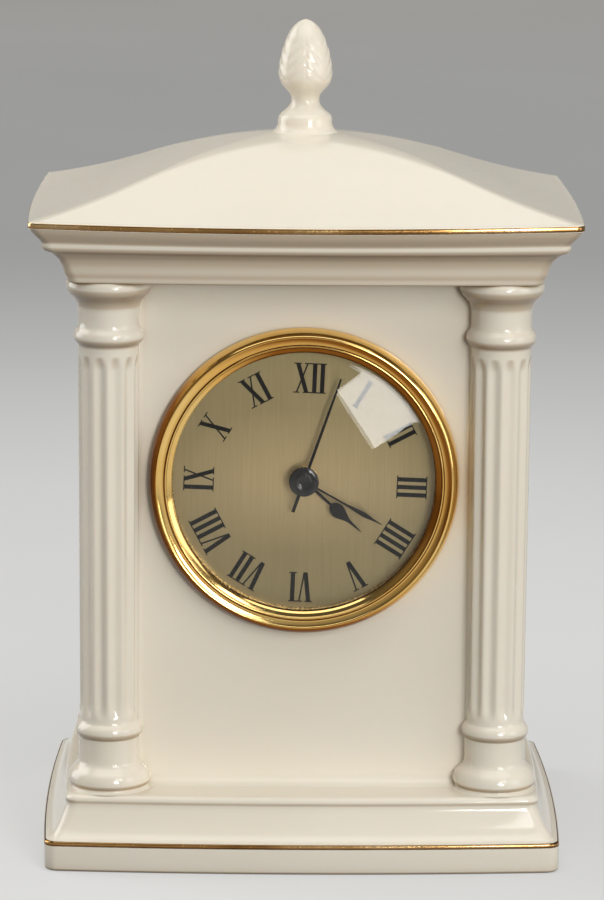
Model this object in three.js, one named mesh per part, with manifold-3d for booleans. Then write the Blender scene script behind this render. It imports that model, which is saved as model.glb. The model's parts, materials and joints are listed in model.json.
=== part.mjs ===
// A pillar clock: a porcelain temple case that holds a round quartz clock insert.
// Millimetres, +Z up. The dial faces -Y, and the origin is under the middle of the plinth.
import * as THREE from 'three';
import { mergeVertices } from 'three/addons/utils/BufferGeometryUtils.js';
import Module from 'manifold-3d';

const wasm = await Module();
wasm.setup();

// Clearances
const LUTE_GAP = 0.3; // joint between two porcelain castings
const INLAY_GAP = 0.15; // a gold band in its groove
const SEAT_GAP = 0.2; // two insert pieces that sit on each other
const RUN_GAP = 0.08; // a turning arbor in its hole
const HOLE_GAP = 0.5; // the insert in the hole of the case
const TRAIN_GAP = 0.4; // between wheels, cell and fixed pieces that pass each other

// Facets of round pieces
const RING_SIDES = 40;
const FINIAL_SIDES = 24;
const PIN_SIDES = 10;

// Gear train: modules, tooth counts and tooth form in modules above and below the pitch circle
const ROTOR_MODULE = 0.2;
const STEP_MODULE = 0.25;
const TRAIN_MODULE = 0.3;
const MOTION_MODULE = 0.3;
const ROTOR_TEETH = 8;
const STEP_WHEEL_TEETH = 48;
const STEP_PINION_TEETH = 8;
const SECONDS_WHEEL_TEETH = 40;
const SECONDS_PINION_TEETH = 8;
const THIRD_WHEEL_TEETH = 60;
const THIRD_PINION_TEETH = 8;
const CENTRE_WHEEL_TEETH = 64;
const MINUTE_PINION_TEETH = 10;
const MINUTE_WHEEL_TEETH = 30;
const MINUTE_WHEEL_PINION_TEETH = 8;
const HOUR_WHEEL_TEETH = 32;
const KNOB_TEETH = 12;
const TOOTH_TIP = 0.75;
const TOOTH_ROOT = 1.1;
const WHEEL_THICK = 0.8;
const LAYER_GAP = 0.4;
const ARBOR_RADIUS = 0.45;
const SECONDS_ARBOR_RADIUS = 0.4;
const TUBE_WALL = 0.47;
const ROTOR_ANGLE = THREE.MathUtils.degToRad(20);

// Movement
const CELL_RADIUS = 6;
const CELL_LENGTH = 30.2;
const CELL_NUB_RADIUS = 2;
const CELL_NUB_LENGTH = 0.8;
const CONTACT_THICK = 0.4;
const CONTACT_WIDTH = 8;
const PLATE_THICK = 1.8;
const CASE_WALL = 1.2;
const CASE_CORNER = 5;
const COVER_THICK = 1.6;
const POST_RADIUS = 2;
const SCREW_RADIUS = 0.7;
const SCREW_LENGTH = 7;
const SCREW_HEAD_RADIUS = 1.5;
const SCREW_HEAD_HEIGHT = 1.1;
const PIVOT_DEPTH = 1.1;
const ROTOR_RADIUS = 2.4;
const AIR_GAP = 0.5;
const STATOR_THICK = 1.4;
const STATOR_RIM = 1.4;
const STATOR_ARM = 3.4;
const STATOR_SHOULDER = 2;
const COIL_RADIUS = 2.2;
const COIL_RISE = 10; // coil axis above the rotor axis
const BOARD_WIDTH = 13;
const BOARD_HEIGHT = 9;
const BOARD_THICK = 1;
const CHIP_SIZE = 3;
const CHIP_THICK = 0.8;
const CRYSTAL_RADIUS = 1;
const CRYSTAL_LENGTH = 6;
const BUSH_WALL = 0.9;
const NUT_RING = 1.2;
const NUT_HEIGHT = 0.9;
const KNOB_SHAFT_RADIUS = 1;
const KNOB_RADIUS = 4.5;
const KNOB_HEIGHT = 3.5;
const KNOB_FLUTES = 14;
const KNOB_FLUTE_DEPTH = 0.4;

// Insert
const MOVEMENT_TO_CUP = 3.2;
const CUP_WALL = 1.6;
const COVER_LIP = 1.6; // battery cover beyond the cell, each way
const SKIRT_WALL = 1;
const SKIRT_GRIP = 0.8;
const GASKET_WIDTH = 4.5;
const GASKET_SQUASH = 0.25; // between the gasket and the hole of the case
const BEZEL_OVERLAP = 3.9;
const BEZEL_WALL_RUN = 1.9; // lean of the outer wall
const BEZEL_RISE = 4.6; // front edge before the case
const BEZEL_EDGE = 0.5; // width of the front edge
const BEAD_WIDTH = 1.4; // bead round the lens
const BEAD_HEIGHT = 0.4;
const LIP_WIDTH = 0.8;
const LIP_THICK = 0.7;
const LENS_THICK = 1.7;
const LENS_DOME = 4.5;
const LENS_STEPS = 5;
const REFLECTOR_WALL = 0.7;
const REFLECTOR_HEIGHT = 2.9;
const DIAL_DEPTH = 2.2; // dial face behind the front of the case
const DIAL_THICK = 0.6;

// Hands, measured from the centre, at the angles clockwise from twelve that they show
const HAND_THICK = 0.35;
const HAND_GAP = 0.4;
const HAND_RING = 0.9;
const HOUR_HAND_LENGTH = 20.4;
const HOUR_BULB_AT = 11.4;
const HOUR_BULB_WIDTH = 3.9;
const HOUR_STEM_WIDTH = 1;
const MINUTE_HAND_LENGTH = 23.7;
const MINUTE_LEAF_AT = 17;
const MINUTE_LEAF_WIDTH = 1.4;
const SECOND_HAND_LENGTH = 29;
const SECOND_HAND_TAIL = 8;
const SECOND_HAND_WIDTH = 0.6;
const HUB_RADIUS = 3.95;
const HUB_HEIGHT = 1.3;
const HOUR_ANGLE = THREE.MathUtils.degToRad(131.5);
const MINUTE_ANGLE = THREE.MathUtils.degToRad(119.5);
const SECOND_ANGLE = THREE.MathUtils.degToRad(19.9);

// Porcelain case
const WALL = 5.5;
const BODY_HEIGHT = 136.1;
const BODY_HALF_Y = 34.1;
const BEZEL_TO_CORNICE = 13;
const REAR_HOLE_RADIUS = 30;
const BOW_RADIUS = 860; // plan curve of every long edge
const CORNER_RADIUS = 3.5;
const CORNER_STEPS = 3;
const SIDE_STEPS = 6;

// Pillars
const BEZEL_TO_SHAFT = 2.6;
const PILLAR_STAND = 1.5; // pillar axis outside the faces of the body
const SHAFT_RADIUS = 7.8;
const FLUTES = 12;
const FLUTE_DEPTH = 0.7;
const FLUTE_RUNOUT = 3;
const FOOT_RADIUS = 11;
const FOOT_ROUND = 1.6;
const FOOT_HEIGHT = 7.6;
const NECK_RADIUS = 8.1;
const RING_HALF = 1.9;
const LOWER_RING_RADIUS = 8.9;
const LOWER_RING_RISE = 15.3; // above the foot of the pillar
const UPPER_RING_RADIUS = 9.2;
const UPPER_RING_DROP = 14.8; // below the top of the pillar
const CAPITAL_RADIUS = 11.2;
const CAPITAL_HEIGHT = 7.6;
const CAPITAL_ROUND = 1.3;

// Plinth
const FASCIA_HEIGHT = 6.7;
const FOOT_CHAMFER = 0.8;
const BASE_BAND_HEIGHT = 1.5;
const BAND_DEPTH = 0.6;
const SLOPE_HEIGHT = 9.1;
const SLOPE_RUN = 5.6;
const SLOPE_STEPS = 4;
const STEP_HEIGHT = 2.6;
const STEP_ROUND = 1.1;
const STEP_MARGIN = 0.2;
const FLOOR_THICK = 6;

// Cornice and roof
const CAPITAL_PROUD = 0.9; // capital beyond the lower edge of the cornice
const COVE_HEIGHT = 10.4;
const COVE_STEPS = 5;
const CORNICE_FILLET = 0.6;
const CORNICE_FASCIA_HEIGHT = 3.8;
const COVE_SHARE = 0.7; // of the overhang, under the fillet
const OVERHANG_SIDE = 10;
const OVERHANG_FRONT = 5.6;
const ROOF_BAND_HEIGHT = 1.9;
const ROOF_RISE = 17.8;
const ROOF_CORNER = 2.5;
const ROOF_STEPS = 8;
const ROOF_HOLLOW_STEPS = 4;
const ROOF_CROWN = 0.046; // swell of the slope above a straight hip, in rises
const ROOF_OGEE = 0.048; // swing of the slope to either side of that swell

// Finial
const FINIAL_BASE_RADIUS = 7.9;
const FINIAL_COLLAR_RADIUS = 7.2;
const FINIAL_COLLAR_RISE = 3;
const FINIAL_NECK_RADIUS = 3.75;
const FINIAL_NECK_RISE = 8.2;
const FINIAL_CONE_RADIUS = 7.25;
const FINIAL_CONE_RISE = 15.9;
const FINIAL_HEIGHT = 29.8;
const FINIAL_STEPS = 16;

// Sizes that follow from the ones above
const pitchRadius = (teeth, module) => (teeth * module) / 2;
const tipRadius = (teeth, module) => pitchRadius(teeth, module) + module * TOOTH_TIP;
const meshDistance = (a, b, module) => pitchRadius(a, module) + pitchRadius(b, module);

const thirdDistance = meshDistance(SECONDS_PINION_TEETH, THIRD_WHEEL_TEETH, TRAIN_MODULE);
const centreModule = (2 * thirdDistance) / (THIRD_PINION_TEETH + CENTRE_WHEEL_TEETH);
const minuteDistance = meshDistance(MINUTE_PINION_TEETH, MINUTE_WHEEL_TEETH, MOTION_MODULE);
const hourModule = (2 * minuteDistance) / (MINUTE_WHEEL_PINION_TEETH + HOUR_WHEEL_TEETH);
const knobDistance = minuteDistance + meshDistance(MINUTE_WHEEL_TEETH, KNOB_TEETH, MOTION_MODULE);
const stepDistance = meshDistance(STEP_PINION_TEETH, SECONDS_WHEEL_TEETH, STEP_MODULE);
const rotorDistance = meshDistance(ROTOR_TEETH, STEP_WHEEL_TEETH, ROTOR_MODULE);
const rotorX = stepDistance + rotorDistance * Math.cos(ROTOR_ANGLE);
const rotorZ = rotorDistance * Math.sin(ROTOR_ANGLE);
const centreWheelRadius = tipRadius(CENTRE_WHEEL_TEETH, centreModule);

const cellTop = -(centreWheelRadius + TRAIN_GAP);
const cellZ = cellTop - CELL_RADIUS;
const caseInner = 2 * CELL_RADIUS + SEAT_GAP - cellTop;
const caseHalf = caseInner + CASE_WALL;
const caseReach = Math.SQRT2 * (caseHalf - CASE_CORNER) + CASE_CORNER;
const cupInner = caseReach + MOVEMENT_TO_CUP;
const cupRadius = cupInner + CUP_WALL;
const skirtInner = cupRadius + SEAT_GAP;
const skirtRadius = skirtInner + SKIRT_WALL;
const holeRadius = skirtRadius + HOLE_GAP;
const bezelRadius = holeRadius + BEZEL_OVERLAP;

// Depths in the insert, from the front of the case, positive into the clock
const reflectorBack = DIAL_DEPTH - SEAT_GAP;
const reflectorFront = reflectorBack - REFLECTOR_HEIGHT;
const lensBack = reflectorFront - SEAT_GAP;
const lensEdge = lensBack - LENS_THICK;
const lipBack = lensEdge - SEAT_GAP;
const dialBack = DIAL_DEPTH + DIAL_THICK;
const cupFront = dialBack + SEAT_GAP;
const skirtEnd = cupFront + SKIRT_GRIP;
const gasketFront = skirtEnd + SEAT_GAP;
const floor = cupFront + PLATE_THICK;
const cellDepth = floor + SEAT_GAP + CELL_RADIUS;
const coverFront = cellDepth + CELL_RADIUS + SEAT_GAP;
const coverBack = coverFront + COVER_THICK;
const headFront = coverBack + SEAT_GAP;
const cupFloor = headFront + SCREW_HEAD_HEIGHT + SEAT_GAP;
const cupBack = cupFloor + CUP_WALL;
const nutFront = DIAL_DEPTH - SEAT_GAP - NUT_HEIGHT;
const hourHandFront = nutFront - HAND_GAP - HAND_THICK;
const minuteHandFront = hourHandFront - HAND_GAP - HAND_THICK;
const secondHandFront = minuteHandFront - HAND_GAP - HAND_THICK;
const layerFront = (index) => floor + LAYER_GAP + index * (WHEEL_THICK + LAYER_GAP);
const layerBack = (index) => layerFront(index) + WHEEL_THICK;

// Radii of the nested tubes at the centre
const minuteBore = SECONDS_ARBOR_RADIUS + RUN_GAP;
const minuteTube = minuteBore + TUBE_WALL;
const hourBore = minuteTube + RUN_GAP;
const hourTube = hourBore + TUBE_WALL + RUN_GAP;
const bushBore = hourTube + RUN_GAP;
const bushRadius = bushBore + BUSH_WALL;

// Places in the case
const pillarX = bezelRadius + BEZEL_TO_SHAFT + SHAFT_RADIUS;
const pillarY = BODY_HALF_Y + PILLAR_STAND;
const bodyHalfX = pillarX - PILLAR_STAND;
const hollowX = bodyHalfX - WALL;
const hollowY = BODY_HALF_Y - WALL;
const stepX = pillarX + FOOT_RADIUS + STEP_MARGIN;
const stepY = pillarY + FOOT_RADIUS + STEP_MARGIN;
const baseX = stepX + SLOPE_RUN;
const baseY = stepY + SLOPE_RUN;
const baseBandTop = FASCIA_HEIGHT + BASE_BAND_HEIGHT;
const creaseZ = baseBandTop + SLOPE_HEIGHT;
const plinthTop = creaseZ + STEP_HEIGHT;
const bodyTop = plinthTop + BODY_HEIGHT;
const dialZ = bodyTop - BEZEL_TO_CORNICE - bezelRadius;
const corniceX = pillarX + CAPITAL_RADIUS - CAPITAL_PROUD;
const corniceY = pillarY + CAPITAL_RADIUS - CAPITAL_PROUD;
const roofX = corniceX + OVERHANG_SIDE;
const roofY = corniceY + OVERHANG_FRONT;
const coveTop = bodyTop + COVE_HEIGHT;
const corniceTop = coveTop + CORNICE_FILLET + CORNICE_FASCIA_HEIGHT;
const rimTop = corniceTop + ROOF_BAND_HEIGHT;
const roofTop = rimTop + ROOF_RISE;

// Shared vertices are merged, flat triangles dropped, and the faces turned to point outwards.
function tidy(geometry) {
  const bare = new THREE.BufferGeometry();
  bare.setAttribute('position', geometry.getAttribute('position').clone());
  bare.setIndex(geometry.index);
  const merged = mergeVertices(bare, 1e-3);
  const position = merged.getAttribute('position');
  const corner = [0, 1, 2].map(() => new THREE.Vector3());
  const kept = [];
  let volume = 0;
  for (let i = 0; i < merged.index.count; i += 3) {
    const face = [0, 1, 2].map((k) => merged.index.getX(i + k));
    if (new Set(face).size === 3) {
      face.forEach((vertex, k) => corner[k].fromBufferAttribute(position, vertex));
      volume += corner[0].dot(corner[1].clone().cross(corner[2]));
      kept.push(face);
    }
  }
  merged.setIndex(kept.flatMap(([a, b, c]) => (volume < 0 ? [a, c, b] : [a, b, c])));
  return merged;
}

function solid(geometry) {
  const closed = tidy(geometry);
  const vertProperties = closed.getAttribute('position').array;
  const triVerts = new Uint32Array(closed.index.array);
  return new wasm.Manifold(new wasm.Mesh({ numProp: 3, vertProperties, triVerts }));
}

function geometryOf(manifold) {
  const { vertProperties, triVerts } = manifold.getMesh();
  const geometry = new THREE.BufferGeometry();
  geometry.setAttribute('position', new THREE.BufferAttribute(vertProperties, 3));
  geometry.setIndex(new THREE.BufferAttribute(triVerts, 1));
  return geometry;
}

function join(first, ...others) {
  return geometryOf(others.reduce((sum, other) => sum.add(solid(other)), solid(first)));
}

function cut(body, ...tools) {
  return geometryOf(tools.reduce((rest, tool) => rest.subtract(solid(tool)), solid(body)));
}

// A piece turned about the Y axis from a profile of [radius, depth] points.
function turned(profile, sides = RING_SIDES) {
  const points = profile.map(([radius, depth]) => new THREE.Vector2(radius, depth));
  return tidy(new THREE.LatheGeometry(points, sides));
}

// A turned ring, whose profile closes on itself.
function turnedRing(profile, sides = RING_SIDES) {
  return turned([...profile, profile[0]], sides);
}

// A round rod along Y, inside the given radius.
function rod(radius, front, back, x = 0, z = 0, sides = PIN_SIDES) {
  const geometry = new THREE.CylinderGeometry(radius, radius, back - front, sides);
  return geometry.translate(x, (front + back) / 2, z);
}

// A round cutter along Y, outside the given radius.
function bore(radius, front, back, x = 0, z = 0, sides = PIN_SIDES) {
  return rod(radius / Math.cos(Math.PI / sides), front, back, x, z, sides);
}

// A rod with a round hole through it.
function tube(inner, outer, front, back, sides = PIN_SIDES) {
  return turnedRing(
    [
      [inner / Math.cos(Math.PI / sides), front],
      [outer, front],
      [outer, back],
      [inner / Math.cos(Math.PI / sides), back],
    ],
    sides,
  );
}

function block(x0, x1, y0, y1, z0, z1) {
  const geometry = new THREE.BoxGeometry(x1 - x0, y1 - y0, z1 - z0);
  return geometry.translate((x0 + x1) / 2, (y0 + y1) / 2, (z0 + z1) / 2);
}

// A flat plate drawn in X and Z, between two depths.
function plate(points, front, back) {
  const shape = new THREE.Shape(points.map(([x, z]) => new THREE.Vector2(x, z)));
  const geometry = new THREE.ExtrudeGeometry(shape, { depth: back - front, bevelEnabled: false });
  return geometry.rotateX(Math.PI / 2).translate(0, back, 0);
}

function roundedRectangle(x0, x1, z0, z1, radius) {
  const corners = [
    [x1 - radius, z1 - radius],
    [x0 + radius, z1 - radius],
    [x0 + radius, z0 + radius],
    [x1 - radius, z0 + radius],
  ];
  return corners.flatMap(([x, z], quarter) =>
    [0, 1, 2, 3].map((step) => {
      const angle = ((quarter + step / 3) * Math.PI) / 2;
      return [x + radius * Math.cos(angle), z + radius * Math.sin(angle)];
    }),
  );
}

// A toothed disc with one tooth tip at the given angle from +X towards +Z.
function gear(teeth, module, tipAngle, front, back, x = 0, z = 0) {
  const points = [];
  for (let i = 0; i < 2 * teeth; i += 1) {
    const height = i % 2 === 0 ? TOOTH_TIP : -TOOTH_ROOT;
    const radius = pitchRadius(teeth, module) + module * height;
    const angle = tipAngle + (i * Math.PI) / teeth;
    points.push([x + radius * Math.cos(angle), z + radius * Math.sin(angle)]);
  }
  return plate(points, front, back);
}

// The tip angle of a gear that meets a neighbour's tooth with a gap, in the neighbour's direction.
const gapTowards = (angle, teeth) => angle + Math.PI / teeth;

// A skin over rings of points, closed by a fan at each end or joined end to end.
function loft(rings, joined = false) {
  const count = rings[0].length;
  const points = rings.flat();
  const faces = [];
  const spans = joined ? rings.length : rings.length - 1;
  for (let level = 0; level < spans; level += 1) {
    for (let i = 0; i < count; i += 1) {
      const low = level * count;
      const high = ((level + 1) % rings.length) * count;
      const next = (i + 1) % count;
      faces.push(low + i, low + next, high + next, low + i, high + next, high + i);
    }
  }
  if (!joined) {
    const last = (rings.length - 1) * count;
    [0, last].forEach((start) => {
      const ring = points.slice(start, start + count);
      const middle = ring.reduce((sum, point) => sum.add(point), new THREE.Vector3());
      points.push(middle.divideScalar(count));
      for (let i = 0; i < count; i += 1) {
        const next = (i + 1) % count;
        const edge = start === 0 ? [start + next, start + i] : [start + i, start + next];
        faces.push(...edge, points.length - 1);
      }
    });
  }
  const geometry = new THREE.BufferGeometry().setFromPoints(points);
  geometry.setIndex(faces);
  return tidy(geometry);
}

// A rectangle with round corners and sides that bow outwards, as a ring of points.
function bowedRing(halfX, halfY, z, corner = CORNER_RADIUS) {
  const ring = [];
  const signs = [
    [1, 1],
    [-1, 1],
    [-1, -1],
    [1, -1],
  ];
  signs.forEach(([signX, signY], quarter) => {
    const centre = new THREE.Vector3(signX * (halfX - corner), signY * (halfY - corner), z);
    for (let step = 0; step <= CORNER_STEPS; step += 1) {
      const angle = ((quarter + step / CORNER_STEPS) * Math.PI) / 2;
      const arm = new THREE.Vector3(Math.cos(angle), Math.sin(angle), 0);
      ring.push(centre.clone().addScaledVector(arm, corner));
    }
    const outwards = ((quarter + 1) * Math.PI) / 2;
    const along = outwards + Math.PI / 2;
    const halfLength = quarter % 2 === 0 ? halfX - corner : halfY - corner;
    const sag = halfLength ** 2 / (2 * BOW_RADIUS);
    const sideHalf = quarter % 2 === 0 ? halfY : halfX;
    for (let step = 1; step < SIDE_STEPS; step += 1) {
      const t = (2 * step) / SIDE_STEPS - 1;
      const reach = sideHalf + sag * (1 - t * t);
      const x = reach * Math.cos(outwards) + t * halfLength * Math.cos(along);
      const y = reach * Math.sin(outwards) + t * halfLength * Math.sin(along);
      ring.push(new THREE.Vector3(x, y, z));
    }
  });
  return ring;
}

const mix = THREE.MathUtils.lerp;

const glaze = { color: 0xf1e8d8, roughness: 0.12, metalness: 0 };
const fired = { color: 0xb98a3a, roughness: 0.25, metalness: 1 };
const gilt = { color: 0xd9a94a, roughness: 0.18, metalness: 1 };
const crystal = { color: 0xf4f7f7, roughness: 0.02, metalness: 0 };
const champagne = { color: 0xb8a87c, roughness: 0.4, metalness: 0.9 };
const blackLacquer = { color: 0x101010, roughness: 0.2, metalness: 0 };
const blackPlastic = { color: 0x1c1c1d, roughness: 0.5, metalness: 0 };
const palePlastic = { color: 0xd8d6cf, roughness: 0.45, metalness: 0 };
const rubber = { color: 0x161616, roughness: 0.8, metalness: 0 };
const steel = { color: 0xb4b6b8, roughness: 0.3, metalness: 1 };
const brass = { color: 0xc8a252, roughness: 0.3, metalness: 1 };
const copper = { color: 0xb4683c, roughness: 0.35, metalness: 1 };
const boardGreen = { color: 0x1f5a38, roughness: 0.5, metalness: 0 };

function piece(name, geometry, finish) {
  const mesh = new THREE.Mesh(tidy(geometry), new THREE.MeshStandardMaterial(finish));
  mesh.name = name;
  return mesh;
}

// Plinth: a fascia, a groove for the gold line, a hollow slope, a rounded step and a hollow inside.
function plinth() {
  const groove = BAND_DEPTH + INLAY_GAP;
  const rings = [
    bowedRing(baseX - FOOT_CHAMFER, baseY - FOOT_CHAMFER, 0),
    bowedRing(baseX, baseY, FOOT_CHAMFER),
    bowedRing(baseX, baseY, FASCIA_HEIGHT),
    bowedRing(baseX - groove, baseY - groove, FASCIA_HEIGHT),
    bowedRing(baseX - groove, baseY - groove, baseBandTop),
  ];
  for (let step = 0; step <= SLOPE_STEPS; step += 1) {
    const share = step / SLOPE_STEPS;
    const inset = SLOPE_RUN * share;
    rings.push(bowedRing(baseX - inset, baseY - inset, baseBandTop + SLOPE_HEIGHT * share ** 1.7));
  }
  rings.push(
    bowedRing(stepX, stepY, plinthTop - STEP_ROUND),
    bowedRing(stepX - STEP_ROUND / 3, stepY - STEP_ROUND / 3, plinthTop - STEP_ROUND / 3),
    bowedRing(stepX - STEP_ROUND, stepY - STEP_ROUND, plinthTop),
    bowedRing(hollowX, hollowY, plinthTop),
    bowedRing(hollowX, hollowY, FLOOR_THICK),
  );
  return loft(rings);
}

// A gold line round an edge of the case, flush with the porcelain above and below it.
function goldBand(halfX, halfY, bottom, height, corner = CORNER_RADIUS) {
  const low = bottom + INLAY_GAP;
  const high = bottom + height - INLAY_GAP;
  const rings = [
    bowedRing(halfX, halfY, low, corner),
    bowedRing(halfX, halfY, high, corner),
    bowedRing(halfX - BAND_DEPTH, halfY - BAND_DEPTH, high, corner),
    bowedRing(halfX - BAND_DEPTH, halfY - BAND_DEPTH, low, corner),
  ];
  return loft(rings, true);
}

// Body: four walls with a round hole for the insert in front and a round access hole behind.
function caseBody() {
  const low = plinthTop + LUTE_GAP;
  const high = bodyTop - LUTE_GAP;
  const walls = block(-bodyHalfX, bodyHalfX, -BODY_HALF_Y, BODY_HALF_Y, low, high);
  const inside = block(-hollowX, hollowX, -hollowY, hollowY, low - WALL, high + WALL);
  const front = bore(holeRadius, -BODY_HALF_Y - WALL, 0, 0, dialZ, RING_SIDES);
  const rear = bore(REAR_HOLE_RADIUS, 0, BODY_HALF_Y + WALL, 0, dialZ, RING_SIDES);
  return cut(walls, inside, front, rear);
}

// A ring of a pillar, with its flutes cut to the given depth.
function pillarRing(z, radius, flute = 0) {
  return Array.from({ length: 2 * FLUTES }, (_, i) => {
    const angle = (i * Math.PI) / FLUTES;
    const reach = i % 2 === 0 ? radius : radius - flute;
    return new THREE.Vector3(reach * Math.cos(angle), reach * Math.sin(angle), z);
  });
}

// Pillar: foot, neck, ring, fluted shaft, ring, neck and capital, cut away where the body stands.
function pillar() {
  const top = BODY_HEIGHT - 2 * LUTE_GAP;
  const fluteLow = LOWER_RING_RISE + RING_HALF + FLUTE_RUNOUT;
  const fluteHigh = top - UPPER_RING_DROP - RING_HALF - FLUTE_RUNOUT;
  const upperRing = top - UPPER_RING_DROP;
  const capitalLow = top - CAPITAL_HEIGHT;
  const levels = [
    [0, FOOT_RADIUS - FOOT_ROUND / 2],
    [FOOT_ROUND, FOOT_RADIUS],
    [FOOT_HEIGHT * 0.45, mix(FOOT_RADIUS, NECK_RADIUS, 0.3)],
    [FOOT_HEIGHT * 0.75, mix(FOOT_RADIUS, NECK_RADIUS, 0.8)],
    [FOOT_HEIGHT, NECK_RADIUS],
    [LOWER_RING_RISE - RING_HALF, NECK_RADIUS],
    [LOWER_RING_RISE - RING_HALF / 2, LOWER_RING_RADIUS],
    [LOWER_RING_RISE + RING_HALF / 2, LOWER_RING_RADIUS],
    [LOWER_RING_RISE + RING_HALF, SHAFT_RADIUS],
    [fluteLow, SHAFT_RADIUS],
    [fluteLow + FLUTE_RUNOUT, SHAFT_RADIUS, FLUTE_DEPTH],
    [fluteHigh - FLUTE_RUNOUT, SHAFT_RADIUS, FLUTE_DEPTH],
    [fluteHigh, SHAFT_RADIUS],
    [upperRing - RING_HALF, SHAFT_RADIUS],
    [upperRing - RING_HALF / 2, UPPER_RING_RADIUS],
    [upperRing + RING_HALF / 2, UPPER_RING_RADIUS],
    [upperRing + RING_HALF, NECK_RADIUS],
    [capitalLow, NECK_RADIUS],
    [capitalLow + CAPITAL_HEIGHT * 0.3, mix(NECK_RADIUS, CAPITAL_RADIUS, 0.5)],
    [capitalLow + CAPITAL_HEIGHT * 0.5, CAPITAL_RADIUS],
    [top - CAPITAL_ROUND, CAPITAL_RADIUS],
    [top, CAPITAL_RADIUS - CAPITAL_ROUND],
  ];
  const column = loft(levels.map(([z, radius, flute]) => pillarRing(z, radius, flute)));
  const reach = 2 * CAPITAL_RADIUS;
  const face = LUTE_GAP - PILLAR_STAND;
  return cut(column, block(-reach, face, -reach, face, -WALL, top + WALL));
}

// Cornice: a cove, a fillet and a slanting fascia round the hollow of the case.
function cornice() {
  const rings = [];
  const ring = (share, z) =>
    bowedRing(corniceX + OVERHANG_SIDE * share, corniceY + OVERHANG_FRONT * share, z);
  for (let step = 0; step <= COVE_STEPS; step += 1) {
    const angle = (step / COVE_STEPS) * (Math.PI / 2);
    rings.push(ring(COVE_SHARE * (1 - Math.cos(angle)), bodyTop + COVE_HEIGHT * Math.sin(angle)));
  }
  rings.push(
    ring(COVE_SHARE, coveTop + CORNICE_FILLET),
    ring(1 - BAND_DEPTH / OVERHANG_SIDE, corniceTop),
    bowedRing(hollowX, hollowY, corniceTop),
    bowedRing(hollowX, hollowY, bodyTop),
  );
  return loft(rings, true);
}

// Height of the roof at a share of the way from the finial to the rim, along a soft ogee.
function roofHeight(share) {
  const swell = ROOF_CROWN * Math.sin(Math.PI * share);
  const swing = ROOF_OGEE * Math.sin(2 * Math.PI * share);
  return rimTop + ROOF_RISE * (1 - share + swell + swing);
}

// A ring of the roof: a bowed rectangle at the rim that turns into the round seat of the finial.
function roofRing(share, z) {
  const round = Math.max(0, 1 - share / 0.4) ** 2;
  const radius = FINIAL_BASE_RADIUS + LUTE_GAP;
  const corner = mix(radius, ROOF_CORNER, Math.sqrt(share));
  const halfX = mix(radius, roofX, share);
  const halfY = mix(mix(radius, roofY, share), halfX, round);
  return bowedRing(halfX, halfY, z, Math.min(corner, halfY));
}

// Roof: a rim that carries the gold line, and a hipped slope over a hollow.
function roof() {
  const groove = BAND_DEPTH + INLAY_GAP;
  const rimBottom = corniceTop + LUTE_GAP;
  const rings = [
    bowedRing(roofX - groove, roofY - groove, rimBottom, ROOF_CORNER),
    bowedRing(roofX - groove, roofY - groove, rimTop, ROOF_CORNER),
  ];
  for (let step = ROOF_STEPS; step >= 0; step -= 1) {
    const share = step / ROOF_STEPS;
    rings.push(roofRing(share, roofHeight(share)));
  }
  const hollow = [];
  for (let step = 0; step <= ROOF_HOLLOW_STEPS; step += 1) {
    const size = 1 - (0.8 * step) / ROOF_HOLLOW_STEPS;
    const height = roofHeight((hollowX * size) / roofX) - WALL;
    hollow.unshift(bowedRing(hollowX * size, hollowY * size, height));
  }
  hollow.push(bowedRing(hollowX, hollowY, rimBottom));
  return loft([...hollow, ...rings]);
}

// Finial: a spreading foot, a collar, a neck and a pointed cone.
function finial() {
  const outline = new THREE.SplineCurve([
    new THREE.Vector2(FINIAL_BASE_RADIUS, 0),
    new THREE.Vector2(FINIAL_COLLAR_RADIUS, FINIAL_COLLAR_RISE),
    new THREE.Vector2(FINIAL_NECK_RADIUS, FINIAL_NECK_RISE),
    new THREE.Vector2(FINIAL_CONE_RADIUS, FINIAL_CONE_RISE),
    new THREE.Vector2(mix(FINIAL_CONE_RADIUS, 0, 0.3), mix(FINIAL_CONE_RISE, FINIAL_HEIGHT, 0.6)),
    new THREE.Vector2(0, FINIAL_HEIGHT),
  ]);
  const points = outline.getPoints(FINIAL_STEPS).map(({ x, y }) => [Math.max(x, 0), y]);
  return turned([[0, 0], ...points], FINIAL_SIDES).rotateX(Math.PI / 2);
}

// Bezel: a wall that rounds in to the front edge, a sloping band, a bead, a lip over the lens and a skirt.
function bezel() {
  const edgeOuter = bezelRadius - BEZEL_WALL_RUN;
  const edgeFront = -SEAT_GAP - BEZEL_RISE;
  const lipInner = skirtInner - LIP_WIDTH;
  const lipFront = lipBack - LIP_THICK;
  const beadOuter = lipInner + BEAD_WIDTH;
  const beadFront = lipFront - BEAD_HEIGHT;
  return turnedRing([
    [skirtRadius, skirtEnd],
    [skirtRadius, -SEAT_GAP],
    [bezelRadius, -SEAT_GAP],
    [mix(bezelRadius, edgeOuter, 0.15), mix(-SEAT_GAP, edgeFront, 0.45)],
    [mix(bezelRadius, edgeOuter, 0.6), mix(-SEAT_GAP, edgeFront, 0.85)],
    [edgeOuter, edgeFront],
    [edgeOuter - BEZEL_EDGE, edgeFront],
    [beadOuter, lipFront],
    [mix(beadOuter, lipInner, 0.3), beadFront],
    [mix(beadOuter, lipInner, 0.7), beadFront],
    [lipInner, lipFront],
    [lipInner, lipBack],
    [skirtInner, lipBack],
    [skirtInner, skirtEnd],
  ]);
}

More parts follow.
